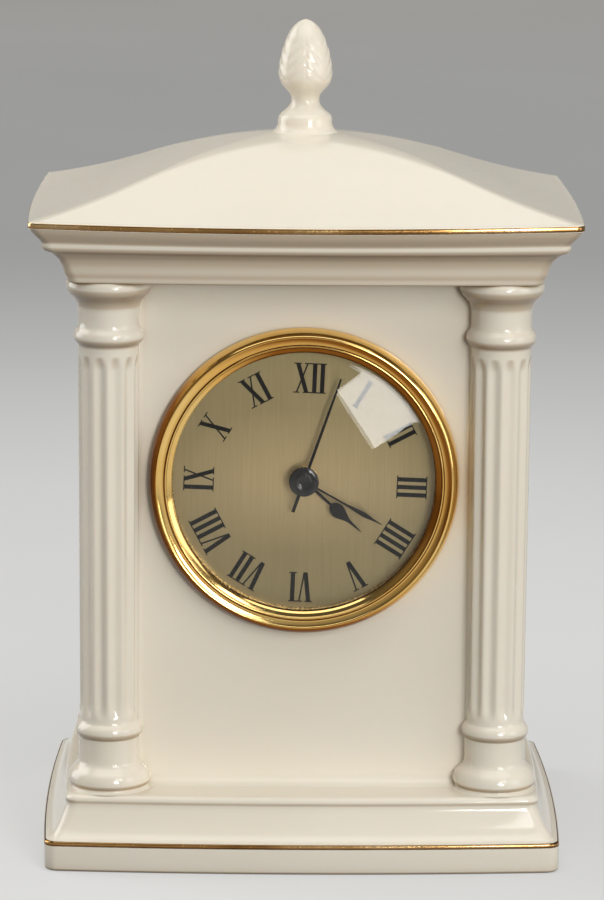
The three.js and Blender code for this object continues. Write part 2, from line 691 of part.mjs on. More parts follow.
// Lens: a domed glass of even thickness with a flat rim under the lip of the bezel.
function lens() {
  const radius = skirtInner - SEAT_GAP;
  const domeRadius = skirtInner - LIP_WIDTH - SEAT_GAP;
  const dome = (edge, depth, rise) =>
    Array.from({ length: LENS_STEPS + 1 }, (_, step) => {
      const share = step / LENS_STEPS;
      return [edge * share, depth - rise * (1 - share * share)];
    });
  const outside = dome(domeRadius, lensEdge, LENS_DOME);
  const inside = dome(domeRadius - LIP_WIDTH, lensBack, LENS_DOME);
  return turned([...inside, [radius, lensBack], [radius, lensEdge], ...outside.reverse()]);
}

function reflectorRing() {
  const radius = skirtInner - SEAT_GAP;
  const inner = radius - REFLECTOR_WALL;
  return turnedRing([
    [inner, reflectorBack],
    [radius, reflectorBack],
    [radius, reflectorFront],
    [inner, reflectorFront],
  ]);
}

function dialPlate() {
  return tube(bushRadius + SEAT_GAP, skirtInner - SEAT_GAP, DIAL_DEPTH, dialBack, RING_SIDES);
}

function gasketRing() {
  const outer = holeRadius - GASKET_SQUASH;
  const inner = cupRadius + SEAT_GAP;
  return turnedRing([
    [inner, gasketFront],
    [outer, gasketFront],
    [outer, gasketFront + GASKET_WIDTH / 3],
    [mix(inner, outer, 0.6), gasketFront + GASKET_WIDTH / 2],
    [outer, gasketFront + (2 * GASKET_WIDTH) / 3],
    [outer, gasketFront + GASKET_WIDTH],
    [inner, gasketFront + GASKET_WIDTH],
  ]);
}

const batteryWindow = {
  x: CELL_LENGTH / 2 + COVER_LIP,
  low: cellZ - CELL_RADIUS - COVER_LIP,
  high: cellTop + COVER_LIP,
};

// Cup: a round housing with a flat back, a battery window and a hole for the knob.
function insertCup() {
  const shell = turned([
    [0, cupFloor],
    [cupInner, cupFloor],
    [cupInner, cupFront],
    [cupRadius, cupFront],
    [cupRadius, cupBack],
    [0, cupBack],
  ]);
  const { x, low, high } = batteryWindow;
  return cut(
    shell,
    block(-x, x, cupFloor - CUP_WALL, cupBack + CUP_WALL, low, high),
    bore(KNOB_SHAFT_RADIUS + RUN_GAP, cupFloor - CUP_WALL, cupBack + CUP_WALL, 0, knobDistance),
  );
}

function batteryCover() {
  const { x, low, high } = batteryWindow;
  const gap = SEAT_GAP;
  return plate(roundedRectangle(-x + gap, x - gap, low + gap, high - gap, gap), cupFloor, cupBack);
}

const posts = [
  [caseInner - POST_RADIUS, caseInner - POST_RADIUS],
  [-caseInner + POST_RADIUS, caseInner - POST_RADIUS],
  [-caseInner + POST_RADIUS, cellTop + SEAT_GAP + POST_RADIUS],
  [caseInner - POST_RADIUS, cellTop + SEAT_GAP + POST_RADIUS],
];

// Case of the movement: a tray with a post for each screw and a pivot hole for each arbor.
function movementCase() {
  const rim = coverFront - SEAT_GAP;
  const outside = roundedRectangle(-caseHalf, caseHalf, -caseHalf, caseHalf, CASE_CORNER);
  const innerCorner = CASE_CORNER - CASE_WALL;
  const inside = roundedRectangle(-caseInner, caseInner, -caseInner, caseInner, innerCorner);
  const tray = cut(plate(outside, cupFront, rim), plate(inside, floor, rim + CASE_WALL));
  const withPosts = join(tray, ...posts.map(([x, z]) => rod(POST_RADIUS, cupFront, rim, x, z)));
  const threads = posts.map(([x, z]) =>
    bore(SCREW_RADIUS + RUN_GAP, headFront - SCREW_LENGTH - SEAT_GAP, rim + CASE_WALL, x, z),
  );
  const through = (radius, x, z) => bore(radius + RUN_GAP, cupFront - CASE_WALL, rim, x, z);
  return cut(
    withPosts,
    ...threads,
    through(bushRadius, 0, 0),
    through(ARBOR_RADIUS, -thirdDistance, 0),
    through(ARBOR_RADIUS, 0, minuteDistance),
    through(ARBOR_RADIUS, 0, knobDistance),
  );
}

function movementCover() {
  const outline = roundedRectangle(-caseHalf, caseHalf, cellTop + SEAT_GAP, caseHalf, SEAT_GAP);
  const through = (radius, x, z) =>
    bore(radius + RUN_GAP, coverFront - COVER_THICK, coverBack + COVER_THICK, x, z);
  return cut(
    plate(outline, coverFront, coverBack),
    ...posts.map(([x, z]) => through(SCREW_RADIUS, x, z)),
    through(SECONDS_ARBOR_RADIUS, 0, 0),
    through(ARBOR_RADIUS, -thirdDistance, 0),
    through(ARBOR_RADIUS, stepDistance, 0),
    through(ARBOR_RADIUS, rotorX, rotorZ),
    through(KNOB_SHAFT_RADIUS, 0, knobDistance),
  );
}

function coverScrew([x, z]) {
  return join(
    rod(SCREW_RADIUS, headFront - SCREW_LENGTH, headFront + SCREW_HEAD_HEIGHT, x, z),
    rod(SCREW_HEAD_RADIUS, headFront, headFront + SCREW_HEAD_HEIGHT, x, z),
  );
}

function centreBush() {
  return tube(bushBore, bushRadius, nutFront, floor - SEAT_GAP);
}

function dialNut() {
  const nutBack = nutFront + NUT_HEIGHT;
  return tube(bushRadius + RUN_GAP, bushRadius + RUN_GAP + NUT_RING, nutFront, nutBack, 6);
}

const pivotEnd = coverFront + PIVOT_DEPTH;
const caseEnd = floor - PIVOT_DEPTH;

function secondsWheel() {
  return join(
    rod(SECONDS_ARBOR_RADIUS, secondHandFront, pivotEnd),
    gear(SECONDS_PINION_TEETH, TRAIN_MODULE, Math.PI, layerFront(3), layerBack(3)),
    gear(SECONDS_WHEEL_TEETH, STEP_MODULE, 0, layerFront(4), layerBack(4)),
  );
}

function thirdWheel() {
  const x = -thirdDistance;
  const meet = gapTowards(0, THIRD_WHEEL_TEETH);
  return join(
    rod(ARBOR_RADIUS, caseEnd, pivotEnd, x),
    gear(THIRD_PINION_TEETH, centreModule, 0, layerFront(2), layerBack(2), x),
    gear(THIRD_WHEEL_TEETH, TRAIN_MODULE, meet, layerFront(3), layerBack(3), x),
  );
}

function centreWheel() {
  const meet = gapTowards(Math.PI, CENTRE_WHEEL_TEETH);
  return cut(
    gear(CENTRE_WHEEL_TEETH, centreModule, meet, layerFront(2), layerBack(2)),
    bore(minuteTube + RUN_GAP, layerFront(2) - WHEEL_THICK, layerBack(2) + WHEEL_THICK),
  );
}

function stepWheel() {
  const x = stepDistance;
  const meet = gapTowards(Math.PI, STEP_PINION_TEETH);
  return join(
    rod(ARBOR_RADIUS, layerFront(4) - LAYER_GAP, pivotEnd, x),
    gear(STEP_PINION_TEETH, STEP_MODULE, meet, layerFront(4), layerBack(4), x),
    gear(STEP_WHEEL_TEETH, ROTOR_MODULE, ROTOR_ANGLE, layerFront(5), layerBack(5), x),
  );
}

const statorFront = coverFront - SEAT_GAP - STATOR_THICK;

function rotor() {
  const meet = gapTowards(ROTOR_ANGLE + Math.PI, ROTOR_TEETH);
  return join(
    rod(ARBOR_RADIUS, layerFront(5) - LAYER_GAP, pivotEnd, rotorX, rotorZ),
    gear(ROTOR_TEETH, ROTOR_MODULE, meet, layerFront(5), layerBack(5), rotorX, rotorZ),
    rod(ROTOR_RADIUS, statorFront, coverFront - SEAT_GAP, rotorX, rotorZ, 2 * PIN_SIDES),
  );
}

function minutePinion() {
  const toothed = gear(MINUTE_PINION_TEETH, MOTION_MODULE, Math.PI / 2, layerFront(1), layerBack(1));
  const end = layerBack(2) + SEAT_GAP;
  return cut(
    join(rod(minuteTube, minuteHandFront, end), toothed),
    bore(minuteBore, minuteHandFront - HAND_GAP, end + SEAT_GAP),
  );
}

function minuteWheel() {
  const z = minuteDistance;
  const meet = gapTowards(-Math.PI / 2, MINUTE_WHEEL_TEETH);
  return join(
    rod(ARBOR_RADIUS, caseEnd, layerBack(1), 0, z),
    gear(MINUTE_WHEEL_PINION_TEETH, hourModule, -Math.PI / 2, layerFront(0), layerFront(1), 0, z),
    gear(MINUTE_WHEEL_TEETH, MOTION_MODULE, meet, layerFront(1), layerBack(1), 0, z),
  );
}

function hourWheel() {
  const meet = gapTowards(Math.PI / 2, HOUR_WHEEL_TEETH);
  return cut(
    join(
      rod(hourTube, hourHandFront, layerBack(0)),
      gear(HOUR_WHEEL_TEETH, hourModule, meet, layerFront(0), layerBack(0)),
    ),
    bore(hourBore, hourHandFront - HAND_GAP, layerBack(0) + SEAT_GAP),
  );
}

// Setting knob: a fluted head behind the cup, on a shaft whose pinion turns the minute wheel.
function settingKnob() {
  const headStart = cupBack + LUTE_GAP;
  const head = Array.from({ length: 2 * KNOB_FLUTES }, (_, i) => {
    const radius = KNOB_RADIUS - (i % 2 === 0 ? 0 : KNOB_FLUTE_DEPTH);
    const angle = (i * Math.PI) / KNOB_FLUTES;
    return [radius * Math.cos(angle), knobDistance + radius * Math.sin(angle)];
  });
  const oddTeeth = MINUTE_WHEEL_TEETH % 2 === 1;
  const meet = -Math.PI / 2 + (oddTeeth ? Math.PI / KNOB_TEETH : 0);
  const shaftStart = layerBack(1) - WHEEL_THICK / 2;
  return join(
    rod(ARBOR_RADIUS, caseEnd, layerBack(1), 0, knobDistance),
    gear(KNOB_TEETH, MOTION_MODULE, meet, layerFront(1), layerBack(1), 0, knobDistance),
    rod(KNOB_SHAFT_RADIUS, shaftStart, headStart + KNOB_HEIGHT / 2, 0, knobDistance),
    plate(head, headStart, headStart + KNOB_HEIGHT),
  );
}

const statorHalf = ROTOR_RADIUS + AIR_GAP + STATOR_RIM;
const statorLeft = rotorX - statorHalf;
const statorRight = caseInner - 2 * SEAT_GAP;
const coilZ = rotorZ + COIL_RISE;

// Stator: a plate round the rotor with two arms that hold the coil between them.
function stator() {
  const low = rotorZ - statorHalf;
  const high = rotorZ + statorHalf;
  const top = coilZ + COIL_RADIUS + SEAT_GAP;
  const points = [
    [statorLeft, low],
    [statorRight, low],
    [statorRight, top],
    [statorRight - STATOR_ARM, top],
    [statorRight - STATOR_ARM, high],
    [statorLeft, high],
    [statorLeft, top],
    [statorLeft - STATOR_ARM, top],
    [statorLeft - STATOR_ARM, high - STATOR_SHOULDER],
    [statorLeft, high - STATOR_SHOULDER],
  ];
  const sides = 2 * PIN_SIDES;
  const back = coverFront - SEAT_GAP;
  return cut(
    plate(points, statorFront, back),
    bore(ROTOR_RADIUS + AIR_GAP, statorFront - STATOR_THICK, back + 1, rotorX, rotorZ, sides),
  );
}

// Coil: a bobbin with two flanges and the winding between them, lying along X.
function driveCoil() {
  const start = statorLeft + LUTE_GAP;
  const end = statorRight - STATOR_ARM - LUTE_GAP;
  const flange = WHEEL_THICK;
  const core = COIL_RADIUS - SEAT_GAP;
  const spool = turned(
    [
      [0, start],
      [COIL_RADIUS, start],
      [COIL_RADIUS, start + flange],
      [core, start + flange],
      [core, end - flange],
      [COIL_RADIUS, end - flange],
      [COIL_RADIUS, end],
      [0, end],
    ],
    2 * PIN_SIDES,
  );
  return spool.rotateZ(-Math.PI / 2).translate(0, coverFront - SEAT_GAP - COIL_RADIUS, coilZ);
}

const boardFront = coverFront - SEAT_GAP - BOARD_THICK;
const boardRight = -KNOB_SHAFT_RADIUS - POST_RADIUS;
const boardLeft = boardRight - BOARD_WIDTH;
const boardTop = caseInner - SEAT_GAP;
const boardLow = boardTop - BOARD_HEIGHT;

function circuitBoard() {
  return block(boardLeft, boardRight, boardFront, boardFront + BOARD_THICK, boardLow, boardTop);
}

function driverChip() {
  const x = boardLeft + CHIP_SIZE;
  const z = boardTop - CHIP_SIZE;
  const back = boardFront - SEAT_GAP;
  const half = CHIP_SIZE / 2;
  return block(x - half, x + half, back - CHIP_THICK, back, z - half, z + half);
}

function quartzCrystal() {
  const can = new THREE.CylinderGeometry(CRYSTAL_RADIUS, CRYSTAL_RADIUS, CRYSTAL_LENGTH, PIN_SIDES);
  const x = boardRight - CRYSTAL_LENGTH / 2 - SEAT_GAP;
  const z = boardLow + 2 * CRYSTAL_RADIUS;
  return can.rotateZ(Math.PI / 2).translate(x, boardFront - SEAT_GAP - CRYSTAL_RADIUS, z);
}

function battery() {
  const half = CELL_LENGTH / 2;
  const shoulder = half - CELL_NUB_LENGTH;
  const cell = turned(
    [
      [0, -half],
      [CELL_RADIUS, -half],
      [CELL_RADIUS, shoulder],
      [CELL_NUB_RADIUS, shoulder],
      [CELL_NUB_RADIUS, half],
      [0, half],
    ],
    2 * PIN_SIDES,
  );
  return cell.rotateZ(-Math.PI / 2).translate(0, cellDepth, cellZ);
}

function cellContact(side) {
  const near = CELL_LENGTH / 2 + SEAT_GAP;
  const xs = [side * near, side * (near + CONTACT_THICK)].sort((a, b) => a - b);
  const half = CONTACT_WIDTH / 2;
  return block(...xs, floor + SEAT_GAP, coverFront - SEAT_GAP, cellZ - half, cellZ + half);
}

// A flat hand pointing to twelve: a half outline on the right is mirrored to the left.
function hand(halfOutline, hole, front) {
  const mirrored = halfOutline.map(([x, z]) => [-x, z]).reverse();
  const blade = plate([...halfOutline, ...mirrored], front, front + HAND_THICK);
  const ring = rod(hole + RUN_GAP + HAND_RING, front, front + HAND_THICK, 0, 0, 2 * PIN_SIDES);
  return cut(join(blade, ring), bore(hole + RUN_GAP, front - HAND_GAP, front + HAND_THICK + HAND_GAP));
}

function hourHand() {
  const stem = HOUR_STEM_WIDTH / 2;
  const bulb = HOUR_BULB_WIDTH / 2;
  const neck = HOUR_BULB_AT - bulb;
  const tip = HOUR_HAND_LENGTH;
  const outline = [
    [stem, 0],
    [stem, neck - bulb / 2],
    [bulb * 0.8, neck + bulb * 0.35],
    [bulb, HOUR_BULB_AT],
    [bulb * 0.75, HOUR_BULB_AT + bulb],
    [stem * 0.6, mix(HOUR_BULB_AT, tip, 0.55)],
    [stem * 0.2, tip],
  ];
  return hand(outline, hourTube, hourHandFront);
}

function minuteHand() {
  const leaf = MINUTE_LEAF_WIDTH / 2;
  const outline = [
    [leaf * 0.5, 0],
    [leaf * 0.6, MINUTE_LEAF_AT / 2],
    [leaf, MINUTE_LEAF_AT],
    [leaf * 0.15, MINUTE_HAND_LENGTH],
  ];
  return hand(outline, minuteTube, minuteHandFront);
}

function secondHand() {
  const half = SECOND_HAND_WIDTH / 2;
  const outline = [
    [half, -SECOND_HAND_TAIL],
    [half, 0],
    [half * 0.6, SECOND_HAND_LENGTH],
  ];
  return hand(outline, SECONDS_ARBOR_RADIUS, secondHandFront);
}

function hubCap() {
  const back = secondHandFront - SEAT_GAP;
  return turned(
    [
      [0, back - HUB_HEIGHT],
      [HUB_RADIUS * 0.6, back - HUB_HEIGHT * 0.85],
      [HUB_RADIUS * 0.92, back - HUB_HEIGHT * 0.4],
      [HUB_RADIUS, back],
      [0, back],
    ],
    2 * PIN_SIDES,
  );
}

function porcelainCase() {
  const group = new THREE.Group();
  group.add(piece('plinth', plinth(), glaze));
  group.add(piece('base_gold_band', goldBand(baseX, baseY, FASCIA_HEIGHT, BASE_BAND_HEIGHT), fired));
  group.add(piece('case_body', caseBody(), glaze));
  const corners = [
    ['pillar_rear_right', 1, 1, 0],
    ['pillar_rear_left', -1, 1, 1],
    ['pillar_front_left', -1, -1, 2],
    ['pillar_front_right', 1, -1, 3],
  ];
  corners.forEach(([name, signX, signY, quarter]) => {
    const mesh = piece(name, pillar(), glaze);
    mesh.position.set(signX * pillarX, signY * pillarY, plinthTop + LUTE_GAP);
    mesh.rotation.z = (quarter * Math.PI) / 2;
    group.add(mesh);
  });
  group.add(piece('cornice', cornice(), glaze));
  group.add(piece('roof', roof(), glaze));
  const rimBand = goldBand(roofX, roofY, corniceTop, ROOF_BAND_HEIGHT, ROOF_CORNER);
  group.add(piece('roof_gold_band', rimBand, fired));
  const cone = piece('finial', finial(), glaze);
  cone.position.z = roofTop + LUTE_GAP;
  group.add(cone);
  return group;
}

function clockInsert() {
  const group = new THREE.Group();
  group.position.set(0, -BODY_HALF_Y, dialZ);
  group.add(piece('bezel', bezel(), gilt));
  group.add(piece('lens', lens(), crystal));
  group.add(piece('reflector_ring', reflectorRing(), gilt));
  group.add(piece('dial_plate', dialPlate(), champagne));
  group.add(piece('gasket_ring', gasketRing(), rubber));
  group.add(piece('insert_cup', insertCup(), blackPlastic));
  group.add(piece('battery_cover', batteryCover(), blackPlastic));
  group.add(piece('movement_case', movementCase(), palePlastic));
  group.add(piece('movement_cover', movementCover(), palePlastic));
  posts.forEach((post, index) => {
    group.add(piece(`cover_screw_${index + 1}`, coverScrew(post), steel));
  });
  group.add(piece('centre_bush', centreBush(), brass));
  group.add(piece('dial_nut', dialNut(), brass));
  group.add(piece('seconds_wheel', secondsWheel(), palePlastic));
  group.add(piece('third_wheel', thirdWheel(), palePlastic));
  group.add(piece('centre_wheel', centreWheel(), brass));
  group.add(piece('step_wheel', stepWheel(), palePlastic));
  group.add(piece('rotor', rotor(), steel));
  group.add(piece('minute_pinion', minutePinion(), brass));
  group.add(piece('minute_wheel', minuteWheel(), palePlastic));
  group.add(piece('hour_wheel', hourWheel(), palePlastic));
  group.add(piece('setting_knob', settingKnob(), blackPlastic));
  group.add(piece('stator', stator(), steel));
  group.add(piece('drive_coil', driveCoil(), copper));
  group.add(piece('circuit_board', circuitBoard(), boardGreen));
  group.add(piece('driver_chip', driverChip(), blackPlastic));
  group.add(piece('quartz_crystal', quartzCrystal(), steel));
  group.add(piece('battery', battery(), steel));
  group.add(piece('contact_positive', cellContact(1), brass));
  group.add(piece('contact_negative', cellContact(-1), brass));
  const hands = [
    ['hour_hand', hourHand(), HOUR_ANGLE],
    ['minute_hand', minuteHand(), MINUTE_ANGLE],
    ['second_hand', secondHand(), SECOND_ANGLE],
    ['hub_cap', hubCap(), SECOND_ANGLE],
  ];
  hands.forEach(([name, geometry, angle]) => {
    const mesh = piece(name, geometry, blackLacquer);
    mesh.rotation.y = angle;
    group.add(mesh);
  });
  return group;
}

const clock = new THREE.Group();
clock.add(porcelainCase(), clockInsert());

export default clock;
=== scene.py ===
import json
import math

import bpy
from mathutils import Matrix, Vector


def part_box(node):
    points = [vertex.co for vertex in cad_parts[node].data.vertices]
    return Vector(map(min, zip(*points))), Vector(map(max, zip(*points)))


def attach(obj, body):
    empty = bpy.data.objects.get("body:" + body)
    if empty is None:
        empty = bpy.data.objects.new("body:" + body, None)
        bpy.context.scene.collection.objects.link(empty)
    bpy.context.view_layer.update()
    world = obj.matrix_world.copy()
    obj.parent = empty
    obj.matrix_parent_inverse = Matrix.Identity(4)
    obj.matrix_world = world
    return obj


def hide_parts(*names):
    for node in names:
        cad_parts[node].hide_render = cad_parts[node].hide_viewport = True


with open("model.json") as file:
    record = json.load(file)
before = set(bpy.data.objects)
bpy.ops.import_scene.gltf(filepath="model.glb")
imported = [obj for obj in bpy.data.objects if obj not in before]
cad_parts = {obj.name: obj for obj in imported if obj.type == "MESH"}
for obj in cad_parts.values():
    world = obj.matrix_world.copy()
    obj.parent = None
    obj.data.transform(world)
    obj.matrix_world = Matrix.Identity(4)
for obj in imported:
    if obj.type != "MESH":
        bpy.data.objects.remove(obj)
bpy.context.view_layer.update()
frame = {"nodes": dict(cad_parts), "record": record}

# Lengths are in millimetres and angles in degrees, where a heading says nothing else
MM = 0.001
FULL_TURN = 2 * math.pi
QUADRANTS = ((1, 1), (-1, 1), (-1, -1), (1, -1))
AXIS_GAP = 0.02

# Steps of the meshes
CORNER_STEPS = 8
SIDE_STEPS = 28
ROUND_STEPS = 160
CUTTER_STEPS = 96
SHARP_ANGLE = 38

# Plinth
CORNER_RADIUS = 3.5
BOW_RADIUS = 860
BOW_PASSES = 6
FOOT_ROUND = 0.9
LEDGE_ROUND = 0.6
LINE_LIFT = 0.15
SLOPE_INSET = 5.5
SLOPE_POWER = 1.75
SLOPE_STEPS = 14
STEP_SINK = 0.6
STEP_DROP = 3.3
STEP_INSET = 5.35
STEP_ROUND = 1.4
STEP_VALLEY = ((5.6, 0.5), (5.62, 1.0), (5.52, 1.4))
PLINTH_FLOOR = 6

# Gold lines, as (inset, height) points where they have a path
GOLD_PROUD = 0.05
GOLD_GAP = 0.01
GOLD_THICK = 0.12
GOLD_WRAP = 60
GOLD_ROWS = 4
ROOF_LINE_DROP = 0.05
ROOF_LINE_PATH = (
    (0.22, 0.0), (0.10, 0.12), (0.06, 0.35), (0.05, 0.7),
    (0.07, 1.1), (0.14, 1.4), (0.28, 1.58), (0.45, 1.66),
)

# Pillars, as (height above the plinth, radius) and (depth below the cornice, radius)
PILLAR_FOOT = (
    (0.0, 11.4), (0.12, 11.1), (0.4, 10.7), (0.8, 10.45), (1.15, 10.6), (1.6, 10.9), (2.2, 11.05),
    (3.2, 10.95), (4.2, 10.6), (5.0, 10.05), (5.6, 9.4), (6.2, 8.8), (6.8, 8.4), (7.7, 8.15), (10.5, 8.1),
    (13.4, 8.1), (14.0, 8.2), (14.5, 8.6), (15.2, 8.9), (16.0, 8.95), (16.8, 8.75), (17.5, 8.3),
    (18.1, 7.85), (19.0, 7.7), (20.2, 7.7),
)
PILLAR_HEAD = (
    (20.0, 7.95), (18.2, 7.95), (17.3, 8.1), (16.7, 8.6), (15.9, 9.1), (14.9, 9.25), (13.9, 9.05),
    (13.2, 8.55), (12.6, 8.15), (11.5, 8.0), (8.0, 8.05), (6.6, 8.3), (5.4, 8.9), (4.4, 9.8), (3.5, 10.6),
    (2.4, 11.1), (1.4, 11.2), (0.6, 11.0), (0.0, 10.5),
)
PILLAR_COLUMNS = 144
SHAFT_ROWS = 24
FLUTES = 12
FLUTE_DEPTH = 0.75
FLUTE_LOW = 19.5
FLUTE_DROP = 19.8
FLUTE_END_RUN = 4.2
FLUTE_END_ROWS = 8
FLUTE_END_POWER = 1.3
FLUTE_POWER = 0.8

# Body
WALL = 5.5
PANEL_ROWS = 48
PANEL_FILLET = 3.4
PANEL_FILLET_ROWS = 8
PILLAR_JOIN = 7.3
JOIN_FILLET = 2.2
CREVICE_HEIGHT = 0.55
CREVICE_DEPTH = 0.9
CREVICE_EDGE = 0.1
CREVICE_STEP = 0.01
BEZEL_LAP = 3.9
REAR_HOLE = 30
MOUTH_ROUND = 1.2
CUT_DEPTH = 30
CUT_SPARE = 9

# Cornice, as (share of the overhang, height)
CORNICE_PROFILE = (
    (-0.12, 0.0), (-0.05, 0.06), (-0.015, 0.22), (0.005, 0.55), (0.035, 1.5), (0.09, 2.7), (0.145, 4.4),
    (0.20, 5.6), (0.27, 6.6), (0.36, 7.4), (0.44, 8.0), (0.50, 8.35), (0.57, 8.65), (0.625, 9.1),
    (0.66, 9.7), (0.67, 10.3), (0.675, 10.9), (0.70, 11.4), (0.755, 12.0), (0.83, 12.8), (0.91, 13.75),
)
CORNICE_TOP_SHARE = 0.98
CORNICE_INSET = 0.9
CORNICE_CORNER = 3.0
CORNICE_GAP = 0.12
DROOP_START = 7
DROOP_RUN = 6

# Roof
ROOF_CORNER = 2.5
ROOF_GAP = 0.1
ROOF_CROWN = 0.046
ROOF_OGEE = 0.048
ROOF_STEPS = 56
ROOF_SHRINK = 0.985
RIM_DROOP = 0.7
DROOP_FADE = 3
RIM_INSET = 0.15
RIM_ROUND = 0.5
RIM_DROP = 0.55
RIM_STEPS = 6
SEAT_SPARE = 0.3
ROUND_SHARE = 0.4
CORNER_GROWTH = 2.2
HOLLOW_RINGS = 7
HOLLOW_SHRINK = 0.13

# Finial, as (radius, height), and the relief of its leaves
FINIAL_PROFILE = (
    (10.4, -0.78), (9.6, -0.62), (8.9, -0.36), (8.35, 0.0), (7.9, 0.45), (7.55, 1.0), (7.32, 1.7),
    (7.26, 2.5), (7.2, 3.3), (6.92, 4.05), (6.3, 4.75), (5.4, 5.5), (4.55, 6.3), (3.98, 7.2),
    (3.76, 8.2), (4.05, 9.5), (4.85, 10.6), (5.85, 11.65), (6.6, 12.7), (7.05, 13.8), (7.25, 15.6),
    (7.1, 17.6), (6.8, 19.4), (6.35, 21.3), (5.7, 23.3), (4.85, 25.4), (3.6, 27.4), (2.3, 28.7),
    (1.1, 29.4), (0.05, 29.7),
)
LEAVES = 4
LEAF_LOW = 10.5
LEAF_TOP_GAP = 3.0
LEAF_LOW_FADE = 7.0
LEAF_HIGH_FADE = 4.0
LEAF_EDGE = 1.1
LEAF_EDGE_FADE = 2.5
VEIN_PITCH = 2.9
VEIN_SLOPE = 0.8
VEIN_DEPTH = 0.17
RIB_WIDTH = 0.7
RIB_SHARE = 0.8

# Bezel, as (inset, depth), with depths from the front of the panel, positive into the clock
BEZEL_WALL = ((0.0, -0.2), (0.05, -1.2), (0.3, -2.5), (0.8, -3.7), (1.35, -4.45), (1.75, -4.75))
BEZEL_EDGE = ((1.85, -4.8), (2.05, -4.84), (2.25, -4.78))
BEZEL_BAND = ((2.35, -4.68), (2.7, -4.5), (3.3, -4.33), (3.9, -4.28))
BEZEL_GROOVE = ((3.95, -3.9), (4.08, -3.9))
BEZEL_BEAD = ((4.12, -4.2), (4.25, -4.36), (4.45, -4.42), (4.65, -4.34), (4.78, -4.15))
BEZEL_SLOPE = ((4.85, -4.05), (5.3, -3.8), (5.8, -3.5))
FIT_GAP = 0.2
SKIRT_WALL = 1.0
SKIRT_FRONT = -0.2
SKIRT_BACK = 3.8
LIP_REACH = 0.8
LIP_FRONT = -3.15
LIP_BACK = -3.0

# Lens, reflector and dial
LENS_STEPS = 26
LENS_DOME = 4.5
LENS_EDGE = -2.8
LENS_BACK = -1.1
LENS_RIM = 1.0
LENS_THICK = 0.8
REFLECTOR_WALL = 0.7
DIAL_HOLE = 3.0
DIAL_FRONT = 2.2
DIAL_BACK = 2.8
DIAL_BEVEL = 0.05

# Numerals
NUMERALS = ("XII", "I", "II", "III", "IIII", "V", "VI", "VII", "VIII", "IX", "X", "XI")
HOUR_STEP = 30
DIAL_TURN = 2.1
PRINT_RIGHT = 0.4
PRINT_DROP = 1.05
NUMERAL_FOOT = 24.1
NUMERAL_HEIGHT = 8.0
LETTER_WIDTHS = {"I": 2.05, "V": 4.3, "X": 4.5}
STROKE_THICK = 1.15
STROKE_THIN = 0.42
SERIF_THICK = 0.3
SERIF_REACH = 0.42
V_THICK_FOOT = 0.1
V_THIN_FOOT = 0.22
V_SPREAD = 0.2
X_SPREAD = 0.15
INK_SINK = 0.01
INK_THICK = 0.05

# Hands, as (half width, distance from the centre)
HOUR_STEM = ((0.40, 2.2), (0.36, 9.6))
HOUR_LEAF = (
    (0.36, 9.6), (0.85, 9.9), (1.38, 10.5), (1.75, 11.3), (1.86, 12.1), (1.72, 13.0),
    (1.30, 14.0), (0.84, 15.0), (0.52, 16.0), (0.36, 17.1), (0.28, 18.4),
)
HOUR_TIP = (0.08, 20.5)
HOUR_ANGLE = 132.3
MINUTE_STEM = ((0.25, 1.2), (0.25, 11.5))
MINUTE_LEAF = (
    (0.25, 11.5), (0.33, 13.2), (0.5, 15.6), (0.64, 18.0), (0.58, 19.2), (0.34, 20.8), (0.22, 21.8),
)
MINUTE_TIP = (0.08, 23.7)
MINUTE_ANGLE = 119.5
SECOND_OUTLINE = ((0.44, -8.7), (0.44, -1.2), (0.42, 1.2), (0.36, 15.0), (0.24, 29.0))
SECOND_ANGLE = 19.2
HAND_THICK = 0.35
HAND_BEVEL = 0.08
HAND_BEVEL_SHARE = 0.35
HAND_LEAST_HALF = 0.03
HAND_RING_STEPS = 40

# Hub, as (radius, rise from its back)
HUB_BACK = -1.35
HUB_STEPS = 72
HUB_DOME = ((3.95, 0), (3.95, 0.3), (3.75, 0.62), (3.2, 0.82), (2.75, 0.84))
HUB_GROOVE = ((2.68, 0.66), (2.5, 0.66))
HUB_RING = ((2.45, 0.9), (2.3, 1.2), (2.05, 1.3), (1.8, 1.24))
HUB_DISH = ((1.68, 1.12), (1.3, 0.98), (0.7, 0.9), (0.0, 0.88))

# Camera, fitted to the outlines of the photograph, with its clip distances in metres
CAMERA_PLACE = (-13.1, -1095.2, 320.6)
CAMERA_PITCH = math.radians(11.213)
CAMERA_PAN = math.radians(0.677)
CAMERA_ROLL = math.radians(0.444)
FOCAL_PIXELS = 4108.7
IMAGE_HEIGHT = 900
SENSOR = 36
CLIP_START = 0.01
CLIP_END = 50

# Lamps: name, place, target and size in metres, power in watts and roll
CLOCK_MIDDLE = (0, 0, 0.11)
CLOCK_UPPER = (0, 0, 0.15)
SOFTBOXES = (
    ("glint_softbox", (0.33, -0.98, 0.25), CLOCK_MIDDLE, (0.31, 0.23), 3.6, -58),
    ("key_softbox", (0.45, -0.90, 0.60), CLOCK_MIDDLE, (0.4, 0.4), 2.5, 0),
    ("side_softbox", (0.95, -0.55, 0.20), CLOCK_MIDDLE, (0.45, 0.9), 2.4, 0),
    ("top_softbox", (0.0, -0.30, 1.1), CLOCK_UPPER, (1.2, 0.8), 5.1, 0),
    ("top_back_softbox", (0.0, 0.6, 1.1), CLOCK_UPPER, (1.4, 0.8), 2.8, 0),
    ("left_softbox", (-0.85, 0.3, 0.45), CLOCK_UPPER, (0.6, 1.0), 5.6, 0),
)

